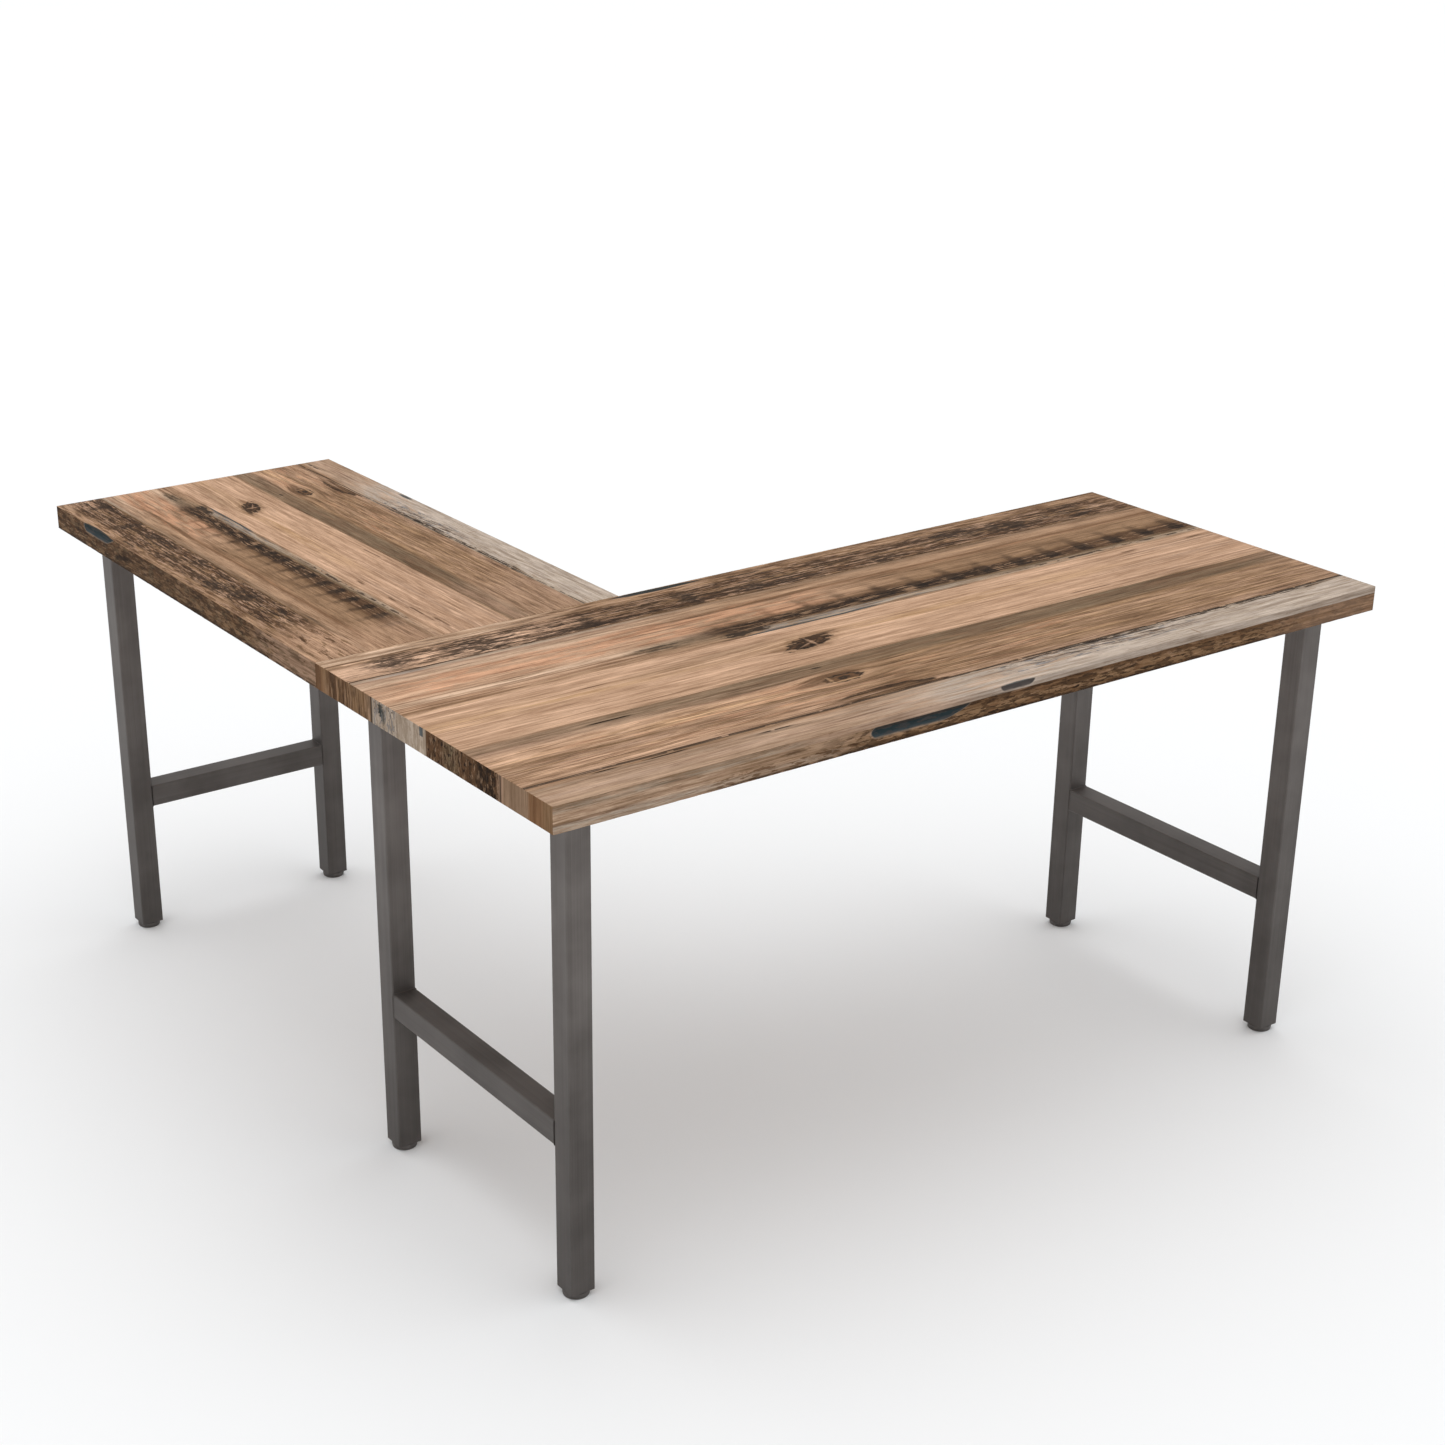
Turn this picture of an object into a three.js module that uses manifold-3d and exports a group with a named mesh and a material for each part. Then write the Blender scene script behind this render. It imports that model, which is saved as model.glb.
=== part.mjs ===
// Corner desk: a long main top and a shorter return top, both glued up from thick planks,
// carried by three welded frames of square steel tube with levelling feet.
//
// Millimetres, +Z up. X runs along the main top's front edge and Y from that edge towards
// the far end of the return. The origin is on the floor, under the middle of the outline.
// In the file, places are first given from the main top's front left corner, on the floor.

import * as THREE from 'three';
import { mergeVertices } from 'three/addons/utils/BufferGeometryUtils.js';
import Module from 'manifold-3d';

const wasm = await Module();
wasm.setup();

// ---- Driving dimensions ----

const DESK_HEIGHT = 762;
const TOP_THICKNESS = 38.1;
const MAIN_LENGTH = 1473.2;
const MAIN_DEPTH = 609.6;
const RETURN_LENGTH = 914.4;
const RETURN_WIDTH = 508;

// Plank widths: the main top from its front edge back, the return from its outer edge in.
// The last plank of each top takes what is left of the width.
const MAIN_PLANK_WIDTHS = [66, 149, 140, 153];
const RETURN_PLANK_WIDTHS = [79, 127, 114, 125];
const PLANK_EDGE_RADIUS = 1.2;

const TUBE_SIZE = 38.1;
const TUBE_WALL = 2;
const TUBE_CORNER_RADIUS = 2.4;
const LEG_INSET = 50.8;
const RAIL_TOP_HEIGHT = 266.7;

const BAR_THICKNESS = 6.35;
const BAR_INSET = 25.4;

const PLATE_LENGTH = 304.8;
const PLATE_WIDTH = 152.4;
const PLATE_SCREW_INSET = 38.1;

const FOOT_RADIUS = 19;
const FOOT_HEIGHT = 9.4;
const FOOT_CHAMFER = 0.8;
const FOOT_SOCKET_FLOOR = 4;
const STUD_RADIUS = 5;
const STUD_TOP_HEIGHT = 56;
const INSERT_LENGTH = 26;
const INSERT_FIN_COUNT = 3;
const INSERT_FIN_THICKNESS = 2;
const INSERT_BODY_CLEARANCE = 2;

const SCREW_LENGTH = 31.75;
const SCREW_HEAD_RADIUS = 4.8;
const SCREW_HEAD_DEPTH = 3;
const SCREW_SHANK_RADIUS = 2.4;
const SCREW_TIP_LENGTH = 7;
const SCREW_RECESS_SPAN = 5;
const SCREW_RECESS_WIDTH = 1.2;
const SCREW_RECESS_DEPTH = 2;
const BAR_SCREW_INSET = 38.1;

// Neighbouring pieces keep this much air between them.
const GAP = 0.3;
// Cutting tools reach this far past the face they open.
const OVERCUT = 1;
const ROUND_SEGMENTS = 24;
const SCREW_SEGMENTS = 12;
const CORNER_SEGMENTS = 3;

// ---- Heights that follow ----

const TOP_UNDERSIDE = DESK_HEIGHT - TOP_THICKNESS;
const BAR_TOP = TOP_UNDERSIDE - GAP;
const BAR_UNDERSIDE = BAR_TOP - BAR_THICKNESS;
const TUBE_BOTTOM = FOOT_HEIGHT + GAP;
const TUBE_LENGTH = BAR_UNDERSIDE - GAP - TUBE_BOTTOM;
const TUBE_BORE = TUBE_SIZE - 2 * TUBE_WALL;

// ---- Materials ----

const plankMaterial = (color) => new THREE.MeshStandardMaterial({ color, roughness: 0.6, metalness: 0 });
const steelMaterial = () => new THREE.MeshStandardMaterial({ color: '#5a5450', roughness: 0.45, metalness: 0.8 });
const zincMaterial = () => new THREE.MeshStandardMaterial({ color: '#9a9a98', roughness: 0.35, metalness: 0.9 });
const nylonMaterial = () => new THREE.MeshStandardMaterial({ color: '#1d1c1b', roughness: 0.6, metalness: 0 });
const footMaterial = () => new THREE.MeshStandardMaterial({ color: '#45403d', roughness: 0.5, metalness: 0 });

const MAIN_PLANK_COLORS = ['#b5a594', '#a07d5d', '#c49f7b', '#a98163', '#7d6249'];
const RETURN_PLANK_COLORS = ['#75593f', '#a67f60', '#c39e7b', '#9d7d5e', '#b3a38f'];

// ---- Shape helpers ----

// Turns a three.js geometry into a solid that can be cut and joined.
function toSolid(geometry) {
  const bare = geometry.clone();
  bare.deleteAttribute('normal');
  bare.deleteAttribute('uv');
  const merged = mergeVertices(bare);
  return new wasm.Manifold(new wasm.Mesh({
    numProp: 3,
    vertProperties: new Float32Array(merged.attributes.position.array),
    triVerts: new Uint32Array(merged.index.array),
  }));
}

// Turns a solid back into a three.js geometry.
function toGeometry(solid) {
  const mesh = solid.getMesh();
  const geometry = new THREE.BufferGeometry();
  geometry.setAttribute('position', new THREE.BufferAttribute(mesh.vertProperties, 3));
  geometry.setIndex(new THREE.BufferAttribute(mesh.triVerts, 1));
  geometry.computeVertexNormals();
  return geometry;
}

// Cuts every tool out of the body.
function cut(body, tools) {
  return toGeometry(tools.reduce((solid, tool) => solid.subtract(toSolid(tool)), toSolid(body)));
}

// A rectangle about its centre. cornerRadii gives the rounding of the corners in turn, anticlockwise
// from the one at +X +Y.
function roundedRectangle(width, height, cornerRadii, path = new THREE.Shape()) {
  const corners = [[1, 1], [-1, 1], [-1, -1], [1, -1]];
  corners.forEach(([sideX, sideY], index) => {
    const radius = cornerRadii[index];
    const x = sideX * (width / 2 - radius);
    const y = sideY * (height / 2 - radius);
    const start = index * Math.PI / 2;
    if (radius > 0) {
      path.absarc(x, y, radius, start, start + Math.PI / 2, false);
    } else if (index === 0) {
      path.moveTo(x, y);
    } else {
      path.lineTo(x, y);
    }
  });
  path.closePath();
  return path;
}

// An outline stretched along Z, from 0 to length.
function prism(shape, length) {
  return new THREE.ExtrudeGeometry(shape, { depth: length, bevelEnabled: false, curveSegments: CORNER_SEGMENTS });
}

// A profile of [radius, height] pairs turned about Z.
function turned(profile, segments) {
  return new THREE.LatheGeometry(profile.map(([radius, z]) => new THREE.Vector2(radius, z)), segments)
    .rotateX(Math.PI / 2);
}

function squareTube(length) {
  const shape = roundedRectangle(TUBE_SIZE, TUBE_SIZE, Array(4).fill(TUBE_CORNER_RADIUS));
  const boreRadius = TUBE_CORNER_RADIUS - TUBE_WALL;
  const bore = roundedRectangle(TUBE_BORE, TUBE_BORE, Array(4).fill(boreRadius), new THREE.Path());
  shape.holes.push(bore);
  return prism(shape, length);
}

// ---- Assembly helpers ----

const desk = new THREE.Group();
desk.position.set(-MAIN_LENGTH / 2, -(MAIN_DEPTH + RETURN_LENGTH) / 2, 0);

function add(name, geometry, material, x, y, z, parent = desk) {
  const mesh = new THREE.Mesh(geometry, material);
  mesh.name = name;
  mesh.position.set(x, y, z);
  parent.add(mesh);
  return mesh;
}

// ---- Screws ----

// A countersunk wood screw, point up, with its head's face at z = 0.
function screwGeometry() {
  const body = turned([
    [0, 0],
    [SCREW_HEAD_RADIUS, 0],
    [SCREW_SHANK_RADIUS, SCREW_HEAD_DEPTH],
    [SCREW_SHANK_RADIUS, SCREW_LENGTH - SCREW_TIP_LENGTH],
    [0, SCREW_LENGTH],
  ], SCREW_SEGMENTS);
  const slots = [0, 1].map((turn) => new THREE.BoxGeometry(
    SCREW_RECESS_SPAN, SCREW_RECESS_WIDTH, 2 * SCREW_RECESS_DEPTH).rotateZ(turn * Math.PI / 2));
  return cut(body, slots);
}

// The hole that a screw needs, from below the steel to past its point.
function screwHole() {
  const headRadius = SCREW_HEAD_RADIUS + GAP;
  const shankRadius = SCREW_SHANK_RADIUS + GAP;
  return turned([
    [0, -OVERCUT],
    [headRadius, -OVERCUT],
    [headRadius, 0],
    [shankRadius, SCREW_HEAD_DEPTH + GAP],
    [shankRadius, SCREW_LENGTH],
    [0, SCREW_LENGTH + OVERCUT],
  ], SCREW_SEGMENTS);
}

// Every screw stands with its head in the underside of a steel piece, so all share one height.
const screwPlaces = [];

function planScrew(name, x, y) {
  screwPlaces.push({ name, x, y });
}

function holesWithin(minX, maxX, minY, maxY) {
  return screwPlaces
    .filter(({ x, y }) => x > minX && x < maxX && y > minY && y < maxY)
    .map(({ x, y }) => screwHole().translate(x, y, BAR_UNDERSIDE));
}

// ---- Plank tops ----

// The planks' edges across a top, as [start, end] pairs that leave the glue gap between them.
function plankSpans(widths, total) {
  const used = widths.reduce((sum, width) => sum + width, 0);
  let start = 0;
  return [...widths, total - used].map((width, index, all) => {
    const first = index === 0;
    const last = index === all.length - 1;
    const span = [start + (first ? 0 : GAP / 2), start + width - (last ? 0 : GAP / 2)];
    start += width;
    return span;
  });
}

const mainSpans = plankSpans(MAIN_PLANK_WIDTHS, MAIN_DEPTH);
const returnSpans = plankSpans(RETURN_PLANK_WIDTHS, RETURN_WIDTH);

// A plank's section, with the outer arrises of the two end planks eased. The low side is at -X.
function plankSection(width, easeLow, easeHigh) {
  const low = easeLow ? PLANK_EDGE_RADIUS : 0;
  const high = easeHigh ? PLANK_EDGE_RADIUS : 0;
  return roundedRectangle(width, TOP_THICKNESS, [high, low, low, high]);
}

// One plank lying along +Y from the origin, with its section centred on X and Z.
function plankGeometry(width, length, easeLow, easeHigh) {
  return prism(plankSection(width, easeLow, easeHigh), length).rotateX(-Math.PI / 2);
}

function addMainTop() {
  mainSpans.forEach(([front, back], index) => {
    const easeFront = index === 0;
    const easeBack = index === mainSpans.length - 1;
    const blank = plankGeometry(back - front, MAIN_LENGTH, easeBack, easeFront)
      .rotateZ(-Math.PI / 2)
      .translate(0, (front + back) / 2, DESK_HEIGHT - TOP_THICKNESS / 2);
    const plank = cut(blank, holesWithin(0, MAIN_LENGTH, front, back));
    add(`main_plank_${index + 1}`, plank, plankMaterial(MAIN_PLANK_COLORS[index]), 0, 0, 0);
  });
}

function addReturnTop() {
  const nearEnd = MAIN_DEPTH + GAP;
  const farEnd = MAIN_DEPTH + RETURN_LENGTH;
  returnSpans.forEach(([outer, inner], index) => {
    const easeOuter = index === 0;
    const easeInner = index === returnSpans.length - 1;
    const blank = plankGeometry(inner - outer, farEnd - nearEnd, easeOuter, easeInner)
      .translate((outer + inner) / 2, nearEnd, DESK_HEIGHT - TOP_THICKNESS / 2);
    const plank = cut(blank, holesWithin(outer, inner, nearEnd, farEnd));
    add(`return_plank_${index + 1}`, plank, plankMaterial(RETURN_PLANK_COLORS[index]), 0, 0, 0);
  });
}

// ---- Levelling feet ----

function insertGeometry() {
  const finWidth = TUBE_BORE - 2 * GAP;
  const bodyWidth = finWidth - INSERT_BODY_CLEARANCE;
  const finSpacing = (INSERT_LENGTH - INSERT_FIN_THICKNESS) / (INSERT_FIN_COUNT - 1);
  let solid = toSolid(new THREE.BoxGeometry(bodyWidth, bodyWidth, INSERT_LENGTH)
    .translate(0, 0, INSERT_LENGTH / 2));
  for (let fin = 0; fin < INSERT_FIN_COUNT; fin += 1) {
    const centre = fin * finSpacing + INSERT_FIN_THICKNESS / 2;
    solid = solid.add(toSolid(new THREE.BoxGeometry(finWidth, finWidth, INSERT_FIN_THICKNESS)
      .translate(0, 0, centre)));
  }
  const bore = new THREE.CylinderGeometry(
    STUD_RADIUS + GAP, STUD_RADIUS + GAP, INSERT_LENGTH + 2 * OVERCUT, ROUND_SEGMENTS)
    .rotateX(Math.PI / 2)
    .translate(0, 0, INSERT_LENGTH / 2);
  return toGeometry(solid.subtract(toSolid(bore)));
}

function studGeometry() {
  const bottom = FOOT_SOCKET_FLOOR + GAP;
  const chamfer = 1;
  return turned([
    [0, bottom],
    [STUD_RADIUS, bottom],
    [STUD_RADIUS, STUD_TOP_HEIGHT - chamfer],
    [STUD_RADIUS - chamfer, STUD_TOP_HEIGHT],
    [0, STUD_TOP_HEIGHT],
  ], ROUND_SEGMENTS);
}

function footGeometry() {
  const socketRadius = STUD_RADIUS + GAP;
  return turned([
    [0, 0],
    [FOOT_RADIUS - FOOT_CHAMFER, 0],
    [FOOT_RADIUS, FOOT_CHAMFER],
    [FOOT_RADIUS, FOOT_HEIGHT - FOOT_CHAMFER],
    [FOOT_RADIUS - FOOT_CHAMFER, FOOT_HEIGHT],
    [socketRadius, FOOT_HEIGHT],
    [socketRadius, FOOT_SOCKET_FLOOR],
    [0, FOOT_SOCKET_FLOOR],
  ], ROUND_SEGMENTS);
}

// One leg with its tube insert, threaded stud and foot, centred on x, y.
function addLeg(place, x, y) {
  add(`leg_${place}`, squareTube(TUBE_LENGTH), steelMaterial(), x, y, TUBE_BOTTOM);
  add(`insert_${place}`, insertGeometry(), nylonMaterial(), x, y, TUBE_BOTTOM);
  add(`stud_${place}`, studGeometry(), zincMaterial(), x, y, 0);
  add(`foot_${place}`, footGeometry(), footMaterial(), x, y, 0);
}

// ---- Frames ----

// screwSpots are the places along the frame's line where a screw meets each plank.
function planFrameScrews(name, along, line, screwSpots) {
  screwSpots.forEach((spot, index) => {
    const [x, y] = along === 'x' ? [spot, line] : [line, spot];
    planScrew(`screw_${name}_${index + 1}`, x, y);
  });
}

// A frame stands under a top as wide as span, with two legs, a rail and a mounting bar. Its line
// runs along X or Y.
function addFrame(name, along, line, span, legPlaces) {
  const firstLeg = LEG_INSET + TUBE_SIZE / 2;
  const lastLeg = span - LEG_INSET - TUBE_SIZE / 2;
  const place = (distance) => (along === 'x' ? [distance, line] : [line, distance]);

  addLeg(legPlaces[0], ...place(firstLeg));
  addLeg(legPlaces[1], ...place(lastLeg));

  const railStart = firstLeg + TUBE_SIZE / 2 + GAP;
  const railLength = lastLeg - TUBE_SIZE / 2 - GAP - railStart;
  const rail = squareTube(railLength).rotateX(-Math.PI / 2);
  if (along === 'x') {
    rail.rotateZ(-Math.PI / 2);
  }
  add(`rail_${name}`, rail, steelMaterial(), ...place(railStart), RAIL_TOP_HEIGHT - TUBE_SIZE / 2);

  const barLength = span - 2 * BAR_INSET;
  const barSize = along === 'x' ? [barLength, TUBE_SIZE] : [TUBE_SIZE, barLength];
  const [barX, barY] = place(span / 2);
  const barBlank = new THREE.BoxGeometry(...barSize, BAR_THICKNESS)
    .translate(barX, barY, BAR_TOP - BAR_THICKNESS / 2);
  const barHoles = holesWithin(barX - barSize[0] / 2, barX + barSize[0] / 2,
    barY - barSize[1] / 2, barY + barSize[1] / 2);
  add(`mounting_bar_${name}`, cut(barBlank, barHoles), steelMaterial(), 0, 0, 0);
}

// The screws meet the outer planks near the bar's ends and the inner planks at their middles.
function frameScrewSpots(spans, total) {
  const inner = spans.slice(1, -1).map(([start, end]) => (start + end) / 2);
  return [BAR_SCREW_INSET, ...inner, total - BAR_SCREW_INSET];
}

// ---- Joining plate ----

const PLATE_CENTRE_X = RETURN_WIDTH / 2;

function planPlateScrews() {
  const reachX = PLATE_LENGTH / 2 - PLATE_SCREW_INSET;
  const reachY = PLATE_WIDTH / 2 - PLATE_SCREW_INSET;
  [[-1, -1], [1, -1], [-1, 1], [1, 1]].forEach(([sideX, sideY], index) => {
    planScrew(`screw_joint_${index + 1}`, PLATE_CENTRE_X + sideX * reachX, MAIN_DEPTH + sideY * reachY);
  });
}

function addJoiningPlate() {
  const blank = new THREE.BoxGeometry(PLATE_LENGTH, PLATE_WIDTH, BAR_THICKNESS)
    .translate(PLATE_CENTRE_X, MAIN_DEPTH, BAR_TOP - BAR_THICKNESS / 2);
  const holes = holesWithin(PLATE_CENTRE_X - PLATE_LENGTH / 2, PLATE_CENTRE_X + PLATE_LENGTH / 2,
    MAIN_DEPTH - PLATE_WIDTH / 2, MAIN_DEPTH + PLATE_WIDTH / 2);
  add('joining_plate', cut(blank, holes), steelMaterial(), 0, 0, 0);
}

// ---- The desk ----

const legCentre = LEG_INSET + TUBE_SIZE / 2;
const frames = [
  { name: 'left', along: 'y', line: legCentre, span: MAIN_DEPTH, spans: mainSpans,
    legs: ['left_front', 'left_back'] },
  { name: 'right', along: 'y', line: MAIN_LENGTH - legCentre, span: MAIN_DEPTH, spans: mainSpans,
    legs: ['right_front', 'right_back'] },
  { name: 'return', along: 'x', line: MAIN_DEPTH + RETURN_LENGTH - legCentre, span: RETURN_WIDTH,
    spans: returnSpans, legs: ['return_outer', 'return_inner'] },
];

frames.forEach(({ name, along, line, span, spans }) => {
  planFrameScrews(name, along, line, frameScrewSpots(spans, span));
});
planPlateScrews();

addMainTop();
addReturnTop();
frames.forEach(({ name, along, line, span, legs }) => addFrame(name, along, line, span, legs));
addJoiningPlate();
screwPlaces.forEach(({ name, x, y }) => add(name, screwGeometry(), zincMaterial(), x, y, BAR_UNDERSIDE));

export default desk;
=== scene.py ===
"""Looks of the corner desk: two tops of reclaimed planks on three frames of brushed steel tube."""

import math
from functools import partial, reduce

import bpy
from mathutils import Matrix, Vector, noise


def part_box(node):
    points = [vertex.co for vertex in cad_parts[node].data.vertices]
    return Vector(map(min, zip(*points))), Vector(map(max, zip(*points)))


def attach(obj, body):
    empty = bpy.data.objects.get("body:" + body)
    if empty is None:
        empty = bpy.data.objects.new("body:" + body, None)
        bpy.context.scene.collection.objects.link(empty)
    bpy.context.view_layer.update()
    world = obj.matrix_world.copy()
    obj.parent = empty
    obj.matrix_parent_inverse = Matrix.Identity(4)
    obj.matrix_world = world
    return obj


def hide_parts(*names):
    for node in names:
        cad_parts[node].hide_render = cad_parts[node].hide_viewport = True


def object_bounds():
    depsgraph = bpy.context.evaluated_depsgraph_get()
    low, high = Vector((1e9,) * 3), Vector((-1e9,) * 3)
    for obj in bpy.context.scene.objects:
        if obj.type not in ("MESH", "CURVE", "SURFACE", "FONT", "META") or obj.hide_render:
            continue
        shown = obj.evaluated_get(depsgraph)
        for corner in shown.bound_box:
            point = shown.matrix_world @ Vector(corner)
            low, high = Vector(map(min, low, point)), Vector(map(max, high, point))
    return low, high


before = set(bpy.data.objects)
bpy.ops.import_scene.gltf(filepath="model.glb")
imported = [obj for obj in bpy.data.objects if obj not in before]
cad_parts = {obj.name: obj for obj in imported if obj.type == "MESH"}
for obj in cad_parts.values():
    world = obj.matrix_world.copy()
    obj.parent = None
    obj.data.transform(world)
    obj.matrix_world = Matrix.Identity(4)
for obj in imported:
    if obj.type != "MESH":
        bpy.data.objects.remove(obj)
cad_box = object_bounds()

MM = 0.001

# ---- Tones as sRGB hex, before oil and grain deepen the wood ----

TONES = {
    "cream": "CFB197",
    "peach_light": "DDB79A",
    "peach": "CBA689",
    "honey": "C9A37D",
    "rose": "BE9A7E",
    "blush": "CE9876",
    "fawn": "B19179",
    "tan": "A58569",
    "brown": "8D6F52",
    "russet": "836145",
    "olive": "77664F",
    "drab": "937962",
    "umber": "674B34",
    "bark": "4E3927",
    "soot": "36291F",
    "crack": "22170F",
    "chalk": "C7B8A9",
    "ash": "B5A699",
    "stone": "A79684",
    "slate": "75767A",
    "paint": "182629",
    "paint_worn": "4B5559",
    "graphite": "433E3C",
    "graphite_worn": "5C5551",
    "steel_light": "6E6966",
    "steel": "5C5754",
    "steel_dark": "4B4643",
    "zinc": "A9A8A4",
    "zinc_dull": "7F7F7C",
    "nylon": "1E1D1C",
    "nylon_worn": "34322F",
    "floor": "ECEDEE",
}


def tone(name):
    """A named tone as a linear RGBA colour."""
    code = TONES[name]
    channels = [int(code[i:i + 2], 16) / 255 for i in (0, 2, 4)]
    linear = [c / 12.92 if c <= 0.04045 else ((c + 0.055) / 1.055) ** 2.4 for c in channels]
    return (*linear, 1.0)


# ---- Shader nodes ----

class Graph:
    """Short ways to add shader nodes to one node tree."""

    def __init__(self, tree):
        self.tree = tree

    def node(self, kind, *inputs, **settings):
        made = self.tree.nodes.new(kind)
        for name, value in settings.items():
            setattr(made, name, value)
        for socket, value in zip(made.inputs, inputs):
            self.feed(socket, value)
        return made

    def feed(self, socket, value):
        if isinstance(value, bpy.types.NodeSocket):
            self.tree.links.new(value, socket)
        elif value is not None:
            socket.default_value = value

    def math(self, operation, *inputs):
        return self.node("ShaderNodeMath", *inputs, operation=operation).outputs[0]

    def times(self, *factors):
        return reduce(partial(self.math, "MULTIPLY"), factors)

    def plus(self, *terms):
        return reduce(partial(self.math, "ADD"), terms)

    def minus(self, a, b):
        return self.math("SUBTRACT", a, b)

    def linear(self, value, factor, offset):
        return self.math("MULTIPLY_ADD", value, factor, offset)

    def rise(self, value, low, high, start=0.0, end=1.0):
        """0 below low, 1 above high, and smooth between them."""
        return self.node("ShaderNodeMapRange", value, low, high, start, end,
                         interpolation_type="SMOOTHSTEP").outputs[0]

    def fall(self, value, low, high):
        """1 below low, 0 above high, and smooth between them."""
        return self.rise(value, low, high, 1.0, 0.0)

    def between(self, value, low, high, soft):
        """1 between low and high and 0 outside, with each side spread over soft."""
        return self.times(self.rise(value, low - soft / 2, low + soft / 2),
                          self.fall(value, high - soft / 2, high + soft / 2))

    def vector(self, x, y, z):
        return self.node("ShaderNodeCombineXYZ", x, y, z).outputs[0]

    def noise(self, vector, detail=3.0, roughness=0.5):
        made = self.node("ShaderNodeTexNoise")
        self.feed(made.inputs["Vector"], vector)
        made.inputs["Scale"].default_value = 1.0
        made.inputs["Detail"].default_value = detail
        made.inputs["Roughness"].default_value = roughness
        return made.outputs[0]

    def mix(self, factor, a, b, blend="MIX"):
        made = self.node("ShaderNodeMix", data_type="RGBA", blend_type=blend)
        for socket, value in ((made.inputs[0], factor), (made.inputs[6], a), (made.inputs[7], b)):
            self.feed(socket, value)
        return made.outputs[2]

    def scaled(self, colour, factor):
        made = self.node("ShaderNodeVectorMath", operation="SCALE")
        self.feed(made.inputs[0], colour)
        self.feed(made.inputs["Scale"], factor)
        return made.outputs[0]

    def ramp(self, value, low, high, stops):
        """Tones between low and high, given as the tone's name at each place."""
        spread = self.node("ShaderNodeMapRange", value, low, high, 0.0, 1.0).outputs[0]
        made = self.node("ShaderNodeValToRGB", spread)
        elements = made.color_ramp.elements
        elements.remove(elements[1])
        for index, (place, name) in enumerate(stops.items()):
            share = (place - low) / (high - low)
            element = elements[0] if index == 0 else elements.new(share)
            element.position = share
            element.color = tone(name)
        return made.outputs[0]

    def noise_by_size(self, place, sizes, detail, roughness):
        """Noise with features about those sizes, one for each axis."""
        scaled = [self.times(coordinate, 1 / size) for coordinate, size in zip(place, sizes)]
        return self.noise(self.vector(*scaled), detail, roughness)

    def object_place(self):
        """The three coordinates in the row frame, in millimetres."""
        place = self.node("ShaderNodeTexCoord").outputs["Object"]
        scaled = self.scaled(place, 1 / MM)
        return self.node("ShaderNodeSeparateXYZ", scaled).outputs


class Surface(Graph):
    """The nodes of one new material."""

    def __init__(self, name):
        self.material = bpy.data.materials.new(name)
        self.material.use_nodes = True
        super().__init__(self.material.node_tree)
        self.shader = self.tree.nodes["Principled BSDF"]

    def finish(self, colour, roughness, height=None, bump=0.0, depth=0.0, metallic=0.0,
               specular=0.5):
        """Links the last colour, roughness and relief, and sets the shader's uniform values."""
        self.feed(self.shader.inputs["Base Color"], colour)
        self.feed(self.shader.inputs["Roughness"], roughness)
        if height is not None:
            made = self.node("ShaderNodeBump")
            made.inputs["Strength"].default_value = bump
            made.inputs["Distance"].default_value = depth
            self.feed(made.inputs["Height"], height)
            self.feed(self.shader.inputs["Normal"], made.outputs[0])
        self.shader.inputs["Metallic"].default_value = metallic
        self.shader.inputs["Specular IOR Level"].default_value = specular
        return self.material


# ---- Wood ----

# Places on a top are in millimetres: u along it from its left end, and v from its back edge.
# On a long edge v goes down from the top, and on a sawn end u does.

# The desk's box and the main top's, from the parts in model.glb.
OUTER_LOW, OUTER_HIGH = cad_box
MAIN_LOW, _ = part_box("main_plank_1")
_, MAIN_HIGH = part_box("main_plank_5")
TOP_HEIGHT = MAIN_HIGH.z

# The return shows the main top's planks, drawn smaller, and starts this far along them.
RETURN_LENGTH_SCALE = 2 / 3
RETURN_WIDTH_SCALE = 5 / 6
RETURN_START = 327.5
RETURN_MARGIN = 6

# How far the oil finish deepens the bare wood's tones, and how much warmer its dark grain is.
OILED = (0.80, 0.79, 0.785, 1.0)
WARM_GRAIN = (1.0, 0.93, 0.85, 1.0)
OILED_SPECULAR = 0.04

# How much further along the noise each layer of flecks is taken from than the one before.
LAYER_SHIFT = 5.3


def main_place(g):
    x, y, z = g.object_place()
    along = g.minus(x, MAIN_LOW.x / MM)
    across = g.minus(MAIN_HIGH.y / MM, y)
    return along, across, g.minus(TOP_HEIGHT / MM, z)


def return_place(g):
    x, y, z = g.object_place()
    along = g.linear(g.minus(OUTER_HIGH.y / MM, y), 1 / RETURN_LENGTH_SCALE, RETURN_START)
    across = g.times(g.minus(x, OUTER_LOW.x / MM - RETURN_MARGIN), 1 / RETURN_WIDTH_SCALE)
    return along, across, g.minus(TOP_HEIGHT / MM, z)


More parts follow.
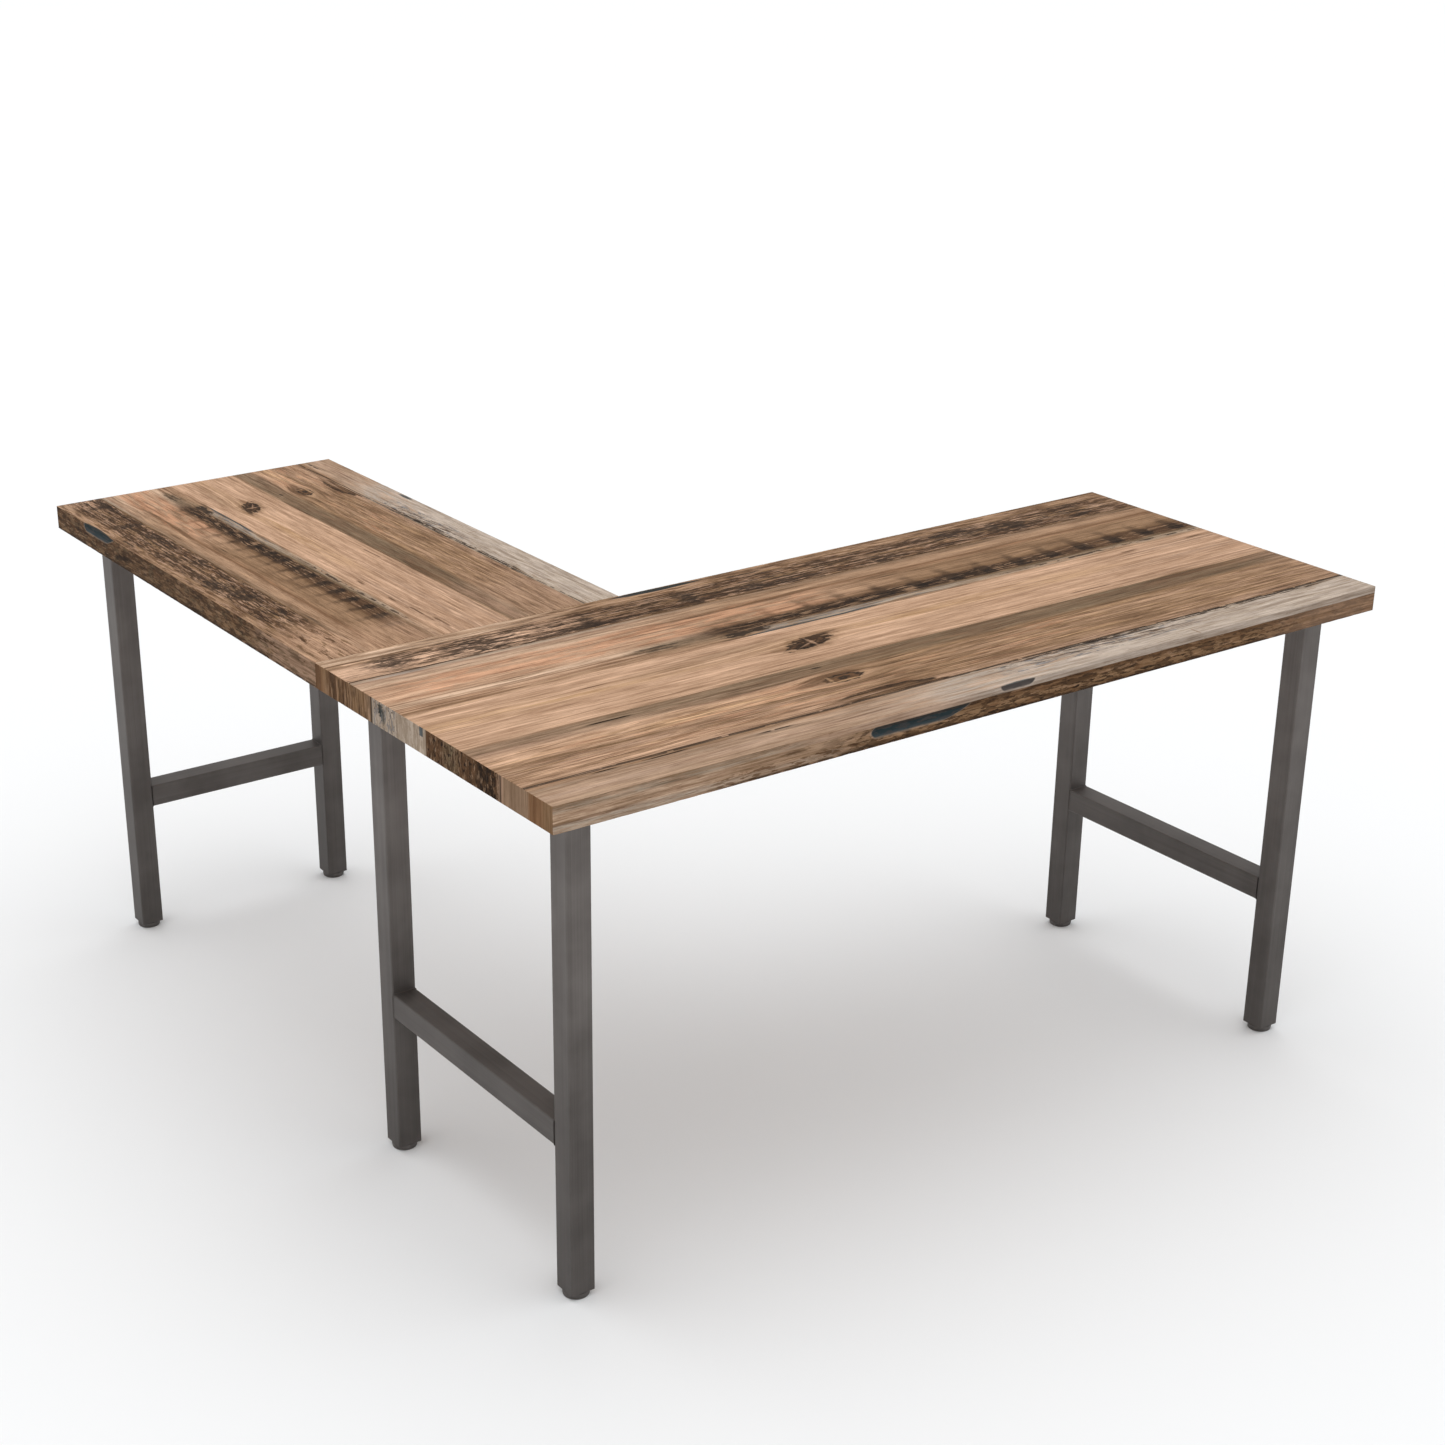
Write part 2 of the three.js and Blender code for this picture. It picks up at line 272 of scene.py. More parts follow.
class Pattern:
    """The colour of one run of wood, painted layer by layer. Places are in millimetres: u along
    the grain, v across it and w into the wood."""

    def __init__(self, g, place, wander=4.0):
        self.g = g
        self.u, self.v, self.w = place
        self.straight_v = self.v
        slow = self.streaks(260, 60, detail=2)
        quick = self.streaks(70, 16, detail=2, shift=40)
        self.v = g.plus(self.v, g.linear(slow, 2 * wander, -wander),
                        g.linear(quick, 0.7 * wander, -0.35 * wander))
        self.colour = None
        self.dents = []
        self.layers = 0

    def streaks(self, length, width, detail=4.0, roughness=0.55, shift=0.0, lean=0.0):
        """Noise drawn out along the grain, or leaning across it, about 0.5."""
        g = self.g
        v = g.linear(self.u, -lean, self.v) if lean else self.v
        place = g.vector(g.linear(self.u, 1 / length, shift), g.times(v, 1 / width),
                         g.times(self.w, 1 / width))
        return g.noise(place, detail, roughness)

    def across(self, low, high, soft):
        return self.g.between(self.v, low, high, soft)

    def along(self, low, high, soft):
        return self.g.between(self.u, low, high, soft)

    def flecks(self, length, width, cover, shift=0.0, sharp=0.05, lean=0.0):
        """Ragged marks drawn out along the grain, over roughly that share of the wood: the noise
        lies mostly between 0.32 and 0.68."""
        edge = 0.68 - 0.36 * cover
        marks = self.streaks(length, width, 3.0, 0.6, shift, lean)
        return self.g.rise(marks, edge - sharp / 2, edge + sharp / 2)

    def distance(self, centre, reach, ragged=0.25, straight=False, tilt=0.0):
        """1 on an ellipse about centre, less inside, with a ragged outline."""
        g = self.g
        v = self.straight_v if straight else self.v
        from_centre = g.minus(self.u, centre[0])
        side_u = g.times(from_centre, 1 / reach[0])
        side_v = g.times(g.plus(g.minus(v, centre[1]), g.times(from_centre, tilt)), 1 / reach[1])
        away = g.math("SQRT", g.plus(g.times(side_u, side_u), g.times(side_v, side_v)))
        if not ragged:
            return away
        rough_u, rough_v = g.times(self.u, 2.5 / reach[0]), g.times(v, 2.5 / reach[1])
        rough = g.noise(g.vector(rough_u, rough_v, self.w), 3)
        return g.plus(away, g.linear(rough, 4 * ragged, -2 * ragged))

    def spot(self, centre, reach, soft=0.4, ragged=0.25, straight=False, tilt=0.0):
        return self.g.fall(self.distance(centre, reach, ragged, straight, tilt), 1 - soft, 1 + soft)

    def tones(self, stops, low, high):
        """One set of tones across the wood."""
        self.colour = self.g.ramp(self.v, low, high, stops)

    def base(self, left, right, low, high, meet):
        """Two sets of tones across the plank, one for each end, that meet between two places."""
        g = self.g
        self.colour = g.mix(g.rise(self.u, *meet), g.ramp(self.v, low, high, left),
                            g.ramp(self.v, low, high, right))

    def paint(self, name, *masks, amount=1.0):
        g = self.g
        mask = g.times(*masks, amount) if masks else amount
        self.colour = g.mix(mask, self.colour, tone(name))

    def band(self, name, amount, across=None, along=None, within=()):
        """Paints a range across the grain, one along it, or both, each (low, high, soft)."""
        masks = list(within)
        if across:
            masks.append(self.across(*across))
        if along:
            masks.append(self.along(*along))
        self.paint(name, *masks, amount=amount)

    def dab(self, name, amount, *spot, **how):
        """Paints a spot."""
        self.paint(name, self.spot(*spot, **how), amount=amount)

    def fleck(self, name, size, cover, amount, across=None, along=None, within=()):
        """Paints flecks of one tone and size, (length, width), each layer in places of its own."""
        self.layers += 1
        marks = self.flecks(*size, cover, LAYER_SHIFT * self.layers)
        self.band(name, amount, across, along, [marks, *within])

    def dent(self, *masks, amount=1.0):
        self.dents.append(self.g.times(*masks, amount))

    def line(self, name, v, start, end, width=1.2, amount=0.9, dent=True, broken=0.0):
        """A thin dark line or crack along the grain."""
        masks = [self.across(v - width / 2, v + width / 2, 0.5 * width), self.along(start, end, 25)]
        if broken:
            masks.append(self.flecks(35, 40, 1 - broken, shift=v))
        self.paint(name, *masks, amount=amount)
        if dent:
            self.dent(*masks)

    def bend_round(self, centre, reach, push=0.7):
        """Parts the grain about a knot."""
        g = self.g
        near = g.fall(self.distance(centre, reach, 0, straight=True), 0.1, 1.0)
        aside = g.minus(self.v, centre[1])
        self.v = g.plus(centre[1], g.times(aside, g.linear(near, -push, 1.0)))

    def knot(self, centre, reach, heart, rim, rings, tilt=0.0, ragged=0.24):
        g = self.g
        away = self.distance(centre, reach, ragged, straight=True, tilt=tilt)
        inside = g.fall(away, 0.9, 1.08)
        turns = g.math("SINE", g.times(away, rings * math.pi))
        ringed = g.mix(g.rise(turns, -0.6, 0.9), tone(heart), tone(rim))
        self.colour = g.mix(inside, self.colour, ringed)
        outline = g.times(g.rise(away, 0.7, 0.92), g.fall(away, 1.0, 1.15))
        self.paint("crack", outline, amount=0.55)
        self.dent(outline, amount=0.7)

    def grain(self, strength=1.0, pores=0.35):
        """Lays fine and broad grain and the oil finish over everything painted so far."""
        g = self.g
        fine = self.streaks(70, 2.4, 4, 0.65)
        middle = self.streaks(130, 7.5, 5, 0.68, shift=31)
        broad = self.streaks(330, 16, 3, 0.5, shift=11)
        cloud = self.streaks(130, 60, 3, 0.5, shift=23)
        depths = ((fine, 1.7), (middle, 1.9), (broad, 0.9), (cloud, 0.35))
        light = g.plus(1.0, *[g.linear(layer, depth * strength, -depth * strength / 2)
                              for layer, depth in depths])
        pore = self.flecks(14, 0.9, 0.16, shift=5)
        light = g.math("MAXIMUM", g.times(light, g.linear(pore, -pores, 1.0)), 0.3)
        oiled = g.mix(1.0, g.scaled(self.colour, light), OILED, blend="MULTIPLY")
        self.colour = g.mix(g.fall(light, 0.7, 1.1), oiled, WARM_GRAIN, blend="MULTIPLY")
        self.fine = fine
        self.pore = pore

    def material(self, roughness=0.52):
        """The finished wood, with its relief from the grain, pores and cracks."""
        g = self.g
        height = g.plus(g.times(self.fine, 0.5), g.times(self.pore, -0.25),
                        *[g.times(dent, -1.6) for dent in self.dents])
        rough = g.linear(self.fine, 0.3, roughness - 0.12)
        return g.finish(self.colour, rough, height, bump=0.55, depth=0.5 * MM,
                        specular=OILED_SPECULAR)


def dark_plank(p):
    """The weathered plank at the back of the main top and the outer side of the return."""
    p.base({0: "cream", 24: "cream", 31: "tan", 45: "drab", 62: "fawn", 80: "fawn", 94: "drab"},
           {0: "brown", 14: "tan", 22: "brown", 45: "umber", 62: "brown", 78: "umber", 90: "umber",
            99: "brown"},
           0, 101.6, (250, 480))
    weathered = (29, 99, 6)
    p.fleck("peach_light", (60, 10), 0.62, 0.8, weathered, (-50, 380, 120))
    p.fleck("tan", (120, 8), 0.5, 0.7, (-5, 36, 6))
    p.fleck("umber", (90, 9), 0.42, 0.85, (2, 44, 6), (320, 1500, 200))
    p.fleck("bark", (70, 8), 0.46, 0.85, weathered, (60, 1450, 120))
    p.fleck("crack", (60, 7), 0.32, 0.7, (36, 98, 14), (240, 1450, 120))
    p.fleck("fawn", (60, 6), 0.34, 0.7, (8, 99, 6), (280, 1700, 120))
    p.fleck("rose", (50, 6), 0.24, 0.6, weathered, (120, 1700, 120))
    p.fleck("crack", (22, 3), 0.3, 0.7, weathered, (100, 1450, 120))
    blotches = (((222, 68), (42, 34)), ((86, 60), (28, 22)), ((410, 76), (14, 22)),
                ((390, 88), (75, 8)), ((588, 70), (20, 24)), ((694, 78), (28, 15)),
                ((770, 83), (52, 9)), ((945, 84), (24, 16)), ((1120, 50), (60, 16)),
                ((1222, 66), (44, 20)), ((1375, 81), (30, 8)))
    for centre, reach in blotches:
        p.paint("soot", p.spot(centre, reach, 0.6, 0.5), p.flecks(24, 5, 0.66, 4), amount=0.85)
    dashes = ((690, 755, 22), (1100, 1130, 30), (1200, 1232, 40), (1360, 1390, 32),
              (1010, 1060, 45))
    for start, end, v in dashes:
        p.band("soot", 0.85, (v - 3, v + 3, 3), (start, end, 20), [p.flecks(20, 4, 0.7, 9)])
    p.line("umber", 28, -20, 145, 4, 0.8, dent=False)
    p.band("cream", 0.5, (16, 23, 4), (-20, 300, 60))
    p.line("crack", 98.5, -20, 175, 3, 0.9)
    p.line("bark", 99, 170, 1480, 2.2, 0.8, broken=0.35)
    p.fleck("rose", (60, 12), 0.66, 0.75, along=(1500, 1800, 120))
    p.grain(1.25, 0.45)
    p.dab("paint", 0.92, (570, 7), (80, 5.5), 0.15, 0.12)


def tan_plank(p):
    """The plank with the dark weathered band along one side."""
    p.base({101: "stone", 112: "fawn", 126: "cream", 145: "rose", 160: "rose", 172: "peach",
            196: "peach", 214: "cream", 232: "rose", 246: "tan", 254: "peach"},
           {101: "drab", 118: "tan", 130: "tan", 138: "russet", 150: "brown", 172: "brown",
            190: "brown", 206: "umber", 222: "umber", 236: "olive", 247: "tan", 254: "tan"},
           101.6, 254.6, (330, 640))
    g = p.g
    p.band("rose", 0.55, (142, 196, 20), (200, 860, 240))
    p.fleck("blush", (110, 18), 0.5, 0.5, (132, 200, 16), (40, 760, 120))
    p.band("rose", 0.18, (110, 190, 12), (640, 1600, 120))
    p.line("russet", 137, 640, 1700, 5, 0.65, dent=False)
    grooves = ((206, 215, 3), (219, 330, 2), (225, 420, 3), (229, 165, 3.5), (235, 470, 2.5),
               (243, 195, 3))
    for v, end, width in grooves:
        p.line("russet", v, -20, end, width, 0.7, dent=False)
    band = (525, 1590, 60)
    top = g.plus(p.v, g.linear(p.streaks(50, 30, 4, 0.65, 9), 50, -25))
    p.paint("umber", g.rise(top, 184, 208), g.fall(p.v, 228, 240), p.along(*band), amount=0.7)
    dense = (525, 1190, 200)
    p.paint("bark", g.rise(top, 198, 210), g.fall(p.v, 224, 233), p.along(*dense), amount=0.85)
    worn = [g.rise(top, 196, 208), g.fall(p.v, 224, 233)]
    p.band("bark", 0.68, along=(1150, 1590, 160), within=worn)
    p.fleck("crack", (50, 6), 0.55, 0.75, (202, 230, 8), dense)
    p.fleck("crack", (40, 5), 0.4, 0.6, (204, 230, 8), band)
    p.fleck("tan", (40, 4), 0.36, 0.7, (202, 236, 8), (560, 1600, 80))
    p.dab("olive", 0.6, (440, 222), (62, 13), 0.6, 0.4)
    p.paint("soot", p.spot((430, 222), (44, 10), 0.6, 0.5), p.flecks(40, 5, 0.6), amount=0.75)
    phase = g.math("COSINE", g.times(g.minus(p.u, 1045), 2 * math.pi / 67))
    ragged_phase = g.plus(phase, g.linear(p.streaks(30, 14, 3, 0.6, 3), 2, -1))
    bead = g.rise(ragged_phase, 0.1, 0.8)
    p.paint("crack", bead, p.along(800, 1590, 200), g.rise(p.v, 190, 207), g.fall(p.v, 226, 236),
            amount=0.8)
    p.paint("bark", g.rise(ragged_phase, 0.2, 1.3), p.along(600, 1600, 240), g.rise(p.v, 146, 200),
            g.fall(p.v, 204, 216), p.flecks(30, 30, 0.72, 12, 0.2), amount=0.85)
    p.band("umber", 0.5, (196, 236, 8), (1180, 1700, 160), [g.fall(phase, -0.8, 0.2)])
    strip = g.times(g.rise(g.minus(p.v, g.linear(p.u, 0.012, 223)), 0, 4), g.fall(p.v, 250, 253),
                    p.along(596, 1010, 30))
    p.paint("stone", strip, amount=0.85)
    p.fleck("slate", (60, 5), 0.42, 0.8, along=(560, 920, 80), within=[strip])
    p.fleck("brown", (50, 5), 0.36, 0.6, within=[strip])
    p.line("paint_worn", 251.5, 560, 800, 4, 0.9, dent=False)
    p.line("umber", 250, 780, 1000, 2, 0.6, dent=False)
    p.fleck("stone", (150, 4), 0.6, 0.6, (239, 252, 5), (900, 1700, 120))
    p.fleck("soot", (26, 8), 0.5, 0.85, (242, 248, 3), (1030, 1700, 20))
    for centre, reach in (((552, 238), (26, 9)), ((592, 236), (20, 8))):
        p.paint("soot", p.spot(centre, reach, 0.3, 0.3), p.flecks(18, 5, 0.78), amount=0.95)
    p.band("slate", 0.35, (101, 108, 4), (30, 115, 20))
    p.band("rose", 0.6, along=(1560, 1900, 160))
    p.grain(1.15)


def peach_plank(p):
    """The plain pale plank in the middle, with one dark knot."""
    p.bend_round((617, 322), (120, 44), 0.6)
    p.base({254: "peach_light", 266: "peach", 282: "peach", 312: "honey", 330: "peach",
            384: "peach", 394: "tan"},
           {254: "tan", 262: "peach", 280: "fawn", 310: "rose", 330: "fawn", 350: "rose",
            382: "fawn", 394: "brown"},
           254.6, 394.6, (1050, 1350))
    p.band("peach_light", 0.8, (256, 264, 4), (-50, 700, 100))
    p.dab("drab", 0.5, (455, 298), (150, 20), 0.8)
    p.fleck("rose", (260, 6), 0.5, 0.7)
    p.fleck("tan", (180, 4), 0.3, 0.5)
    p.fleck("peach_light", (300, 5), 0.36, 0.6)
    p.dab("russet", 0.75, (565, 326), (42, 3.5), 0.6)
    p.dab("russet", 0.5, (662, 306), (34, 8), 0.8)
    dashes = ((1275, 1305, 272, 5), (1418, 1446, 275, 4), (250, 282, 297, 3), (1072, 1150, 374, 3),
              (1500, 1560, 280, 4), (1590, 1660, 286, 4))
    for start, end, v, width in dashes:
        p.band("umber", 0.75, (v - width / 2, v + width / 2, 2), (start, end, 18))
    p.fleck("umber", (40, 3), 0.2, 0.6, (270, 300, 8), (1440, 1700, 60))
    p.dab("brown", 0.55, (614, 322), (54, 20), 0.3, 0.4, tilt=0.2)
    p.knot((617, 321), (41, 16), "bark", "umber", 1.4, tilt=0.22, ragged=0.4)
    p.paint("crack", p.spot((612, 324), (26, 8), 0.4, 0.5, tilt=0.2), p.flecks(14, 5, 0.6, 6),
            amount=0.8)
    p.dab("rose", 0.7, (620, 321), (3, 15), 0.4, 0.6, straight=True, tilt=-1.2)
    p.dab("fawn", 0.6, (606, 328), (14, 1.6), 0.4, 0.6, straight=True, tilt=0.4)
    p.dab("bark", 0.75, (648, 311), (28, 4), 0.5, 0.4, tilt=0.25)
    p.grain(0.85, 0.25)


def brown_plank(p):
    """The brown plank with the grey band, one ringed knot and the bark along its joint."""
    g = p.g
    p.bend_round((565, 460), (110, 40), 0.7)
    p.base({394: "tan", 402: "drab", 414: "drab", 424: "fawn", 436: "peach", 452: "peach",
            472: "peach", 482: "tan", 494: "fawn", 512: "rose", 530: "peach", 543: "fawn"},
           {388: "tan", 398: "olive", 412: "umber", 424: "olive", 438: "brown", 456: "tan",
            492: "tan", 508: "brown", 522: "tan", 536: "fawn", 543: "tan"},
           388, 543.6, (420, 720))
    p.band("honey", 0.7, (453, 473, 12), (240, 470, 80))
    p.band("olive", 0.6, (395, 433, 6), (180, 1480, 400))
    p.fleck("umber", (200, 6), 0.45, 0.6, (388, 436, 8), (300, 1500, 200))
    p.band("fawn", 0.14, (396, 436, 6))
    p.band("umber", 0.7, (395, 407, 4), (1200, 1800, 160))
    p.fleck("brown", (160, 8), 0.42, 0.7, (440, 540, 8))
    p.fleck("rose", (180, 8), 0.36, 0.5, (440, 540, 8))
    p.fleck("honey", (140, 6), 0.3, 0.4, (440, 510, 8))
    p.fleck("blush", (120, 9), 0.3, 0.35, (440, 520, 8), (100, 1000, 200))
    p.dab("brown", 0.4, (660, 460), (160, 40), 0.8)
    p.fleck("umber", (140, 2.6), 0.36, 0.6, (474, 541, 5))
    p.fleck("umber", (70, 4), 0.22, 0.5, (400, 541, 5), (600, 1700, 100))
    p.band("fawn", 0.5, (396, 540, 8), (1440, 1800, 160))
    p.line("crack", 412, 182, 247, 4, 0.9)
    p.dab("soot", 0.8, (558, 411), (9, 3), 0.5)
    p.line("umber", 480, 690, 742, 4, 0.8)
    p.dab("umber", 0.85, (556, 451), (52, 8), 0.4, 0.3)
    p.knot((567, 461), (32, 13), "umber", "soot", 2.6)
    p.dab("honey", 0.6, (545, 459), (3, 8), 0.6, 0.6, straight=True, tilt=0.8)
    p.dab("honey", 0.6, (566, 470), (24, 2), 0.5, 0.4, straight=True)
    p.dab("umber", 0.7, (512, 460), (34, 4), 0.6)
    feather = p.distance((588, 542), (104, 24), 0.12, tilt=-0.03)
    inside = g.times(g.fall(feather, 0.92, 1.04), g.fall(p.v, 541, 543), g.rise(p.u, 485, 545))
    p.paint("brown", inside, amount=0.75)
    p.paint("umber", inside, p.flecks(90, 4, 0.6, 19), amount=0.9)
    p.paint("crack", inside, p.flecks(70, 2.6, 0.4, 29), amount=0.75)
    p.paint("crack", g.rise(feather, 0.78, 0.94), inside, p.flecks(50, 8, 0.75, 13), amount=0.75)
    p.dab("fawn", 0.7, (545, 533), (44, 1.8), 0.4, 0.3, tilt=0.05)
    p.line("crack", 542.5, -20, 1500, 3, 0.85, broken=0.25)
    p.grain(1.15)


def pale_plank(p):
    """The plank that fades from tan to weathered chalk, at the main top's front edge."""
    p.base({543: "brown", 556: "tan", 572: "tan", 584: "fawn", 598: "tan", 610: "tan"},
           {543: "stone", 556: "chalk"},
           543.6, 609.6, (440, 780))
    p.fleck("drab", (70, 6), 0.5, 0.6, (543, 570, 8), (-20, 560, 60))
    p.fleck("rose", (150, 7), 0.45, 0.5, along=(-20, 900, 100))
    p.fleck("russet", (80, 3.5), 0.28, 0.6, along=(-20, 560, 100))
    p.fleck("brown", (60, 4), 0.3, 0.7, (540, 570, 8), (720, 1700, 80))
    p.fleck("ash", (80, 9), 0.5, 0.8, (552, 620, 10), (620, 1700, 80))
    p.fleck("soot", (44, 4), 0.46, 0.9, (540, 553, 5), (800, 1420, 60))
    p.fleck("slate", (34, 6), 0.3, 0.75, (550, 582, 10), (760, 1130, 60))
    split = p.spot((945, 560), (190, 16), 0.3, 0.2, tilt=-0.05)
    p.paint("umber", split, p.flecks(60, 3.4, 0.36, 27, lean=0.09), amount=0.75)
    p.paint("crack", split, p.flecks(40, 2.4, 0.3, 33, lean=0.09), amount=0.8)
    p.band("chalk", 0.18, (554, 620, 8), (-50, 560, 100))
    p.dab("umber", 0.7, (505, 584), (60, 2.6), 0.8)
    p.line("crack", 545, -20, 500, 3.4, 0.75, broken=0.25)
    cracks = ((100, 132, 551), (176, 240, 551), (350, 402, 561), (890, 1000, 548),
              (1010, 1062, 553))
    for start, end, v in cracks:
        p.line("crack", v, start, end, 3.2, 0.85, broken=0.25)
    p.line("crack", 545, 480, 1700, 2.4, 0.85, broken=0.3)
    p.dab("drab", 0.8, (1102, 600), (1.4, 12), 0.5, 0.3, straight=True, tilt=1.1)
    p.dab("paint_worn", 0.9, (751, 611), (31, 4), 0.3, 0.2)
    p.grain(0.8, 0.25)


WOODS = {
    "plank_dark": dark_plank,
    "plank_tan": tan_plank,
    "plank_peach": peach_plank,
    "plank_brown": brown_plank,
    "plank_pale": pale_plank,
}


def wood_material(name, place_in, paint_layers, wander=4.0, roughness=0.52):
    """Wood with its places found by place_in and its colour built up by paint_layers."""
    g = Surface(name)
    pattern = Pattern(g, place_in(g), wander)
    paint_layers(pattern)
    return pattern.material(roughness)


def old_paint_patch(p, along, down, slant, coat="paint", worn="paint_worn", depth=0.85):
    """What is left of a coat of paint on an edge, over a range along and down, with round ends.
    Its far end leans back by slant for each step down, and depth is how much of the dark coat
    is left."""
    g = p.g
    round_off = 6
    middle = sum(down) / 2
    from_middle = g.times(g.minus(p.v, middle), 1 / (down[1] - middle))
    bulge = g.times(from_middle, from_middle, round_off)
    inset = g.minus(g.minus(p.u, along[0]), bulge)
    lean = g.linear(p.v, slant, -slant * max(0, down[0]))
    left_over = g.minus(g.minus(g.minus(along[1], lean), p.u), bulge)
    below_top = g.rise(p.v, down[0] - 0.6, down[0] + 0.6)
    rim = g.times(g.rise(inset, -4, 0), g.rise(left_over, -5, 0), below_top,
                  g.fall(p.v, down[1], down[1] + 3.5))
    patch = g.times(g.rise(inset, -1.5, 2.5), g.rise(left_over, -1.5, 2.5), below_top,
                    g.fall(p.v, down[1] - 2, down[1] + 1.2))
    p.paint("ash", rim, amount=0.25)
    p.paint(worn, patch, amount=0.95)
    upper = g.fall(p.v, middle, down[1])
    p.paint(coat, patch, g.linear(upper, 0.5 * depth, 0.5 * depth))
    p.fleck(coat, (30, 4), 0.36, 0.5 * depth, within=[patch])
    p.fleck("graphite", (20, 4), 0.4, 0.6, within=[patch])


def pale_edge(p):
    """The long edge of the pale plank: tan, then chalk above a rough dark lower half."""
    p.base({0: "drab", 8: "stone", 13: "cream", 24: "cream", 30: "chalk", 38: "cream"},
           {0: "ash", 9.8: "ash", 11: "umber", 22: "brown", 32: "brown", 38: "umber"},
           0, 38.1, (420, 520))
    p.band("stone", 0.6, (28, 40, 3), (-30, 200, 60))
    p.band("umber", 0.8, (23.5, 27.5, 2), (-30, 122, 50))
    p.fleck("brown", (60, 3.5), 0.4, 0.45, along=(-30, 520, 80))
    p.band("brown", 0.55, (9, 45, 6), (250, 520, 120))
    p.fleck("fawn", (50, 4), 0.3, 0.5, along=(-30, 520, 80))
    p.fleck("umber", (24, 4.5), 0.42, 0.8, (22, 40, 6), (240, 520, 80))
    p.dab("bark", 0.7, (370, 15), (18, 2.5), 0.6, 0.6)
    p.band("fawn", 0.7, (-5, 10.5, 2), (380, 660, 120))
    rough = (11, 40, 2)
    right = (440, 1600, 120)
    p.fleck("bark", (30, 9), 0.45, 0.75, rough, right)
    p.fleck("tan", (40, 8), 0.24, 0.6, rough, right)
    p.fleck("russet", (30, 7), 0.3, 0.6, rough, (560, 1600, 100))
    p.fleck("crack", (26, 4), 0.24, 0.9, (24, 38, 4), (600, 1300, 60))
    p.fleck("soot", (22, 4), 0.3, 0.7, rough, right)
    p.paint("soot", p.across(34.5, 40, 3), p.flecks(30, 6, 0.6, 11), p.along(250, 1600, 100),
            amount=0.85)
    p.band("fawn", 0.45, rough, (1280, 1700, 200))
    p.band("bark", 0.1, rough)
    p.grain(0.9, 0.3)
    old_paint_patch(p, (495, 672), (10.8, 25), 3)
    p.band("soot", 0.5, (10.4, 14, 1.4), (500, 676, 20))
    old_paint_patch(p, (720, 782), (-5, 8), 0.3, "graphite", "graphite_worn")


def dark_edge(p):
    """The long edge of the dark plank: mottled brown with a patch of old paint."""
    p.base({26: "umber", 38: "bark"},
           {0: "umber", 12: "umber", 26: "brown", 38: "umber"},
           0, 38.1, (240, 420))
    p.fleck("bark", (30, 9), 0.5, 0.8)
    p.fleck("brown", (36, 8), 0.4, 0.8)
    p.fleck("tan", (24, 6), 0.26, 0.7)
    p.fleck("olive", (26, 8), 0.3, 0.6)
    p.fleck("soot", (22, 5), 0.26, 0.75)
    p.band("bark", 0.3, along=(230, 640, 160))
    p.dab("crack", 0.9, (262, 22), (28, 5), 0.4, 0.6, tilt=0.15)
    p.dab("crack", 0.85, (528, 33), (16, 4), 0.5, 0.5)
    p.fleck("drab", (60, 14), 0.75, 0.7, along=(800, 1200, 120))
    p.fleck("fawn", (40, 8), 0.6, 0.8, along=(740, 1200, 120))
    p.fleck("soot", (30, 6), 0.6, 0.8, (34, 40, 3))
    p.fleck("crack", (16, 5), 0.3, 0.45, along=(-10, 800, 100))
    p.paint("bark", amount=0.2)
    p.grain(0.95, 0.3)
    old_paint_patch(p, (115, 232), (-5, 12), 2)


def main_end(p):
    """The sawn ends of the main top's planks, from its front edge back."""
    p.tones({14: "brown", 30: "russet", 52: "russet", 58: "drab", 112: "drab", 117: "fawn",
             120: "soot", 124: "fawn", 130: "umber", 150: "bark", 172: "bark", 190: "umber",
             215: "umber", 240: "olive", 270: "umber", 303: "umber", 306: "stone"}, 0, 330)
    g = p.g
    far = g.ramp(p.v, 330, 610, {
        447: "stone", 450: "crack", 455: "drab", 470: "brown", 500: "brown", 530: "umber",
        545: "brown", 549: "umber", 560: "bark", 570: "umber", 584: "brown", 592: "russet",
        600: "umber"})
    p.colour = g.mix(g.rise(p.v, 328, 332), p.colour, far)
    rough = (124, 302, 6)
    p.fleck("bark", (14, 9), 0.45, 0.8, rough)
    p.fleck("crack", (9, 7), 0.26, 0.8, rough)
    p.fleck("drab", (14, 5), 0.3, 0.7, rough)
    p.fleck("crack", (12, 6), 0.5, 0.8, (130, 174, 12))
    p.fleck("bark", (40, 3.5), 0.45, 0.8, (455, 545, 6))
    p.fleck("tan", (40, 3.5), 0.3, 0.7, (455, 600, 6))
    p.fleck("chalk", (16, 8), 0.5, 0.5, (308, 446, 6))
    p.fleck("slate", (14, 6), 0.42, 0.6, (384, 446, 10))
    p.fleck("soot", (5, 4), 0.16, 0.9, (384, 446, 10))
    p.dab("paint", 0.85, (11, 425), (9, 6), 0.4, 0.6)
    p.dab("paint_worn", 0.7, (20, 418), (9, 5), 0.5, 0.6)
    p.band("paint_worn", 0.9, (311.5, 320.5, 1.2), (-5, 13, 1.5))
    p.grain(0.8, 0.2)


def plain_end(p):
    """The sawn ends that face away: rings and small checks in umber and tan."""
    p.tones({0: "brown", 80: "umber", 150: "tan", 260: "drab", 380: "brown", 470: "tan",
             610: "stone"}, 0, 610)
    p.paint("umber", p.flecks(40, 4, 0.45), amount=0.6)
    p.paint("cream", p.flecks(30, 3, 0.3, 5), amount=0.35)
    p.paint("crack", p.flecks(12, 2, 0.14, 8), amount=0.7)
    p.grain(0.8, 0.2)


def edge_place(axis, start, side):
    """Places on a long edge: u from start, against the axis where side is -1, and v down."""
    def place(g):
        coordinates = g.object_place()
        along = g.times(g.minus(coordinates["xyz".index(axis)], start / MM), side)
        return along, g.minus(TOP_HEIGHT / MM, coordinates[2]), 0.0
    return place


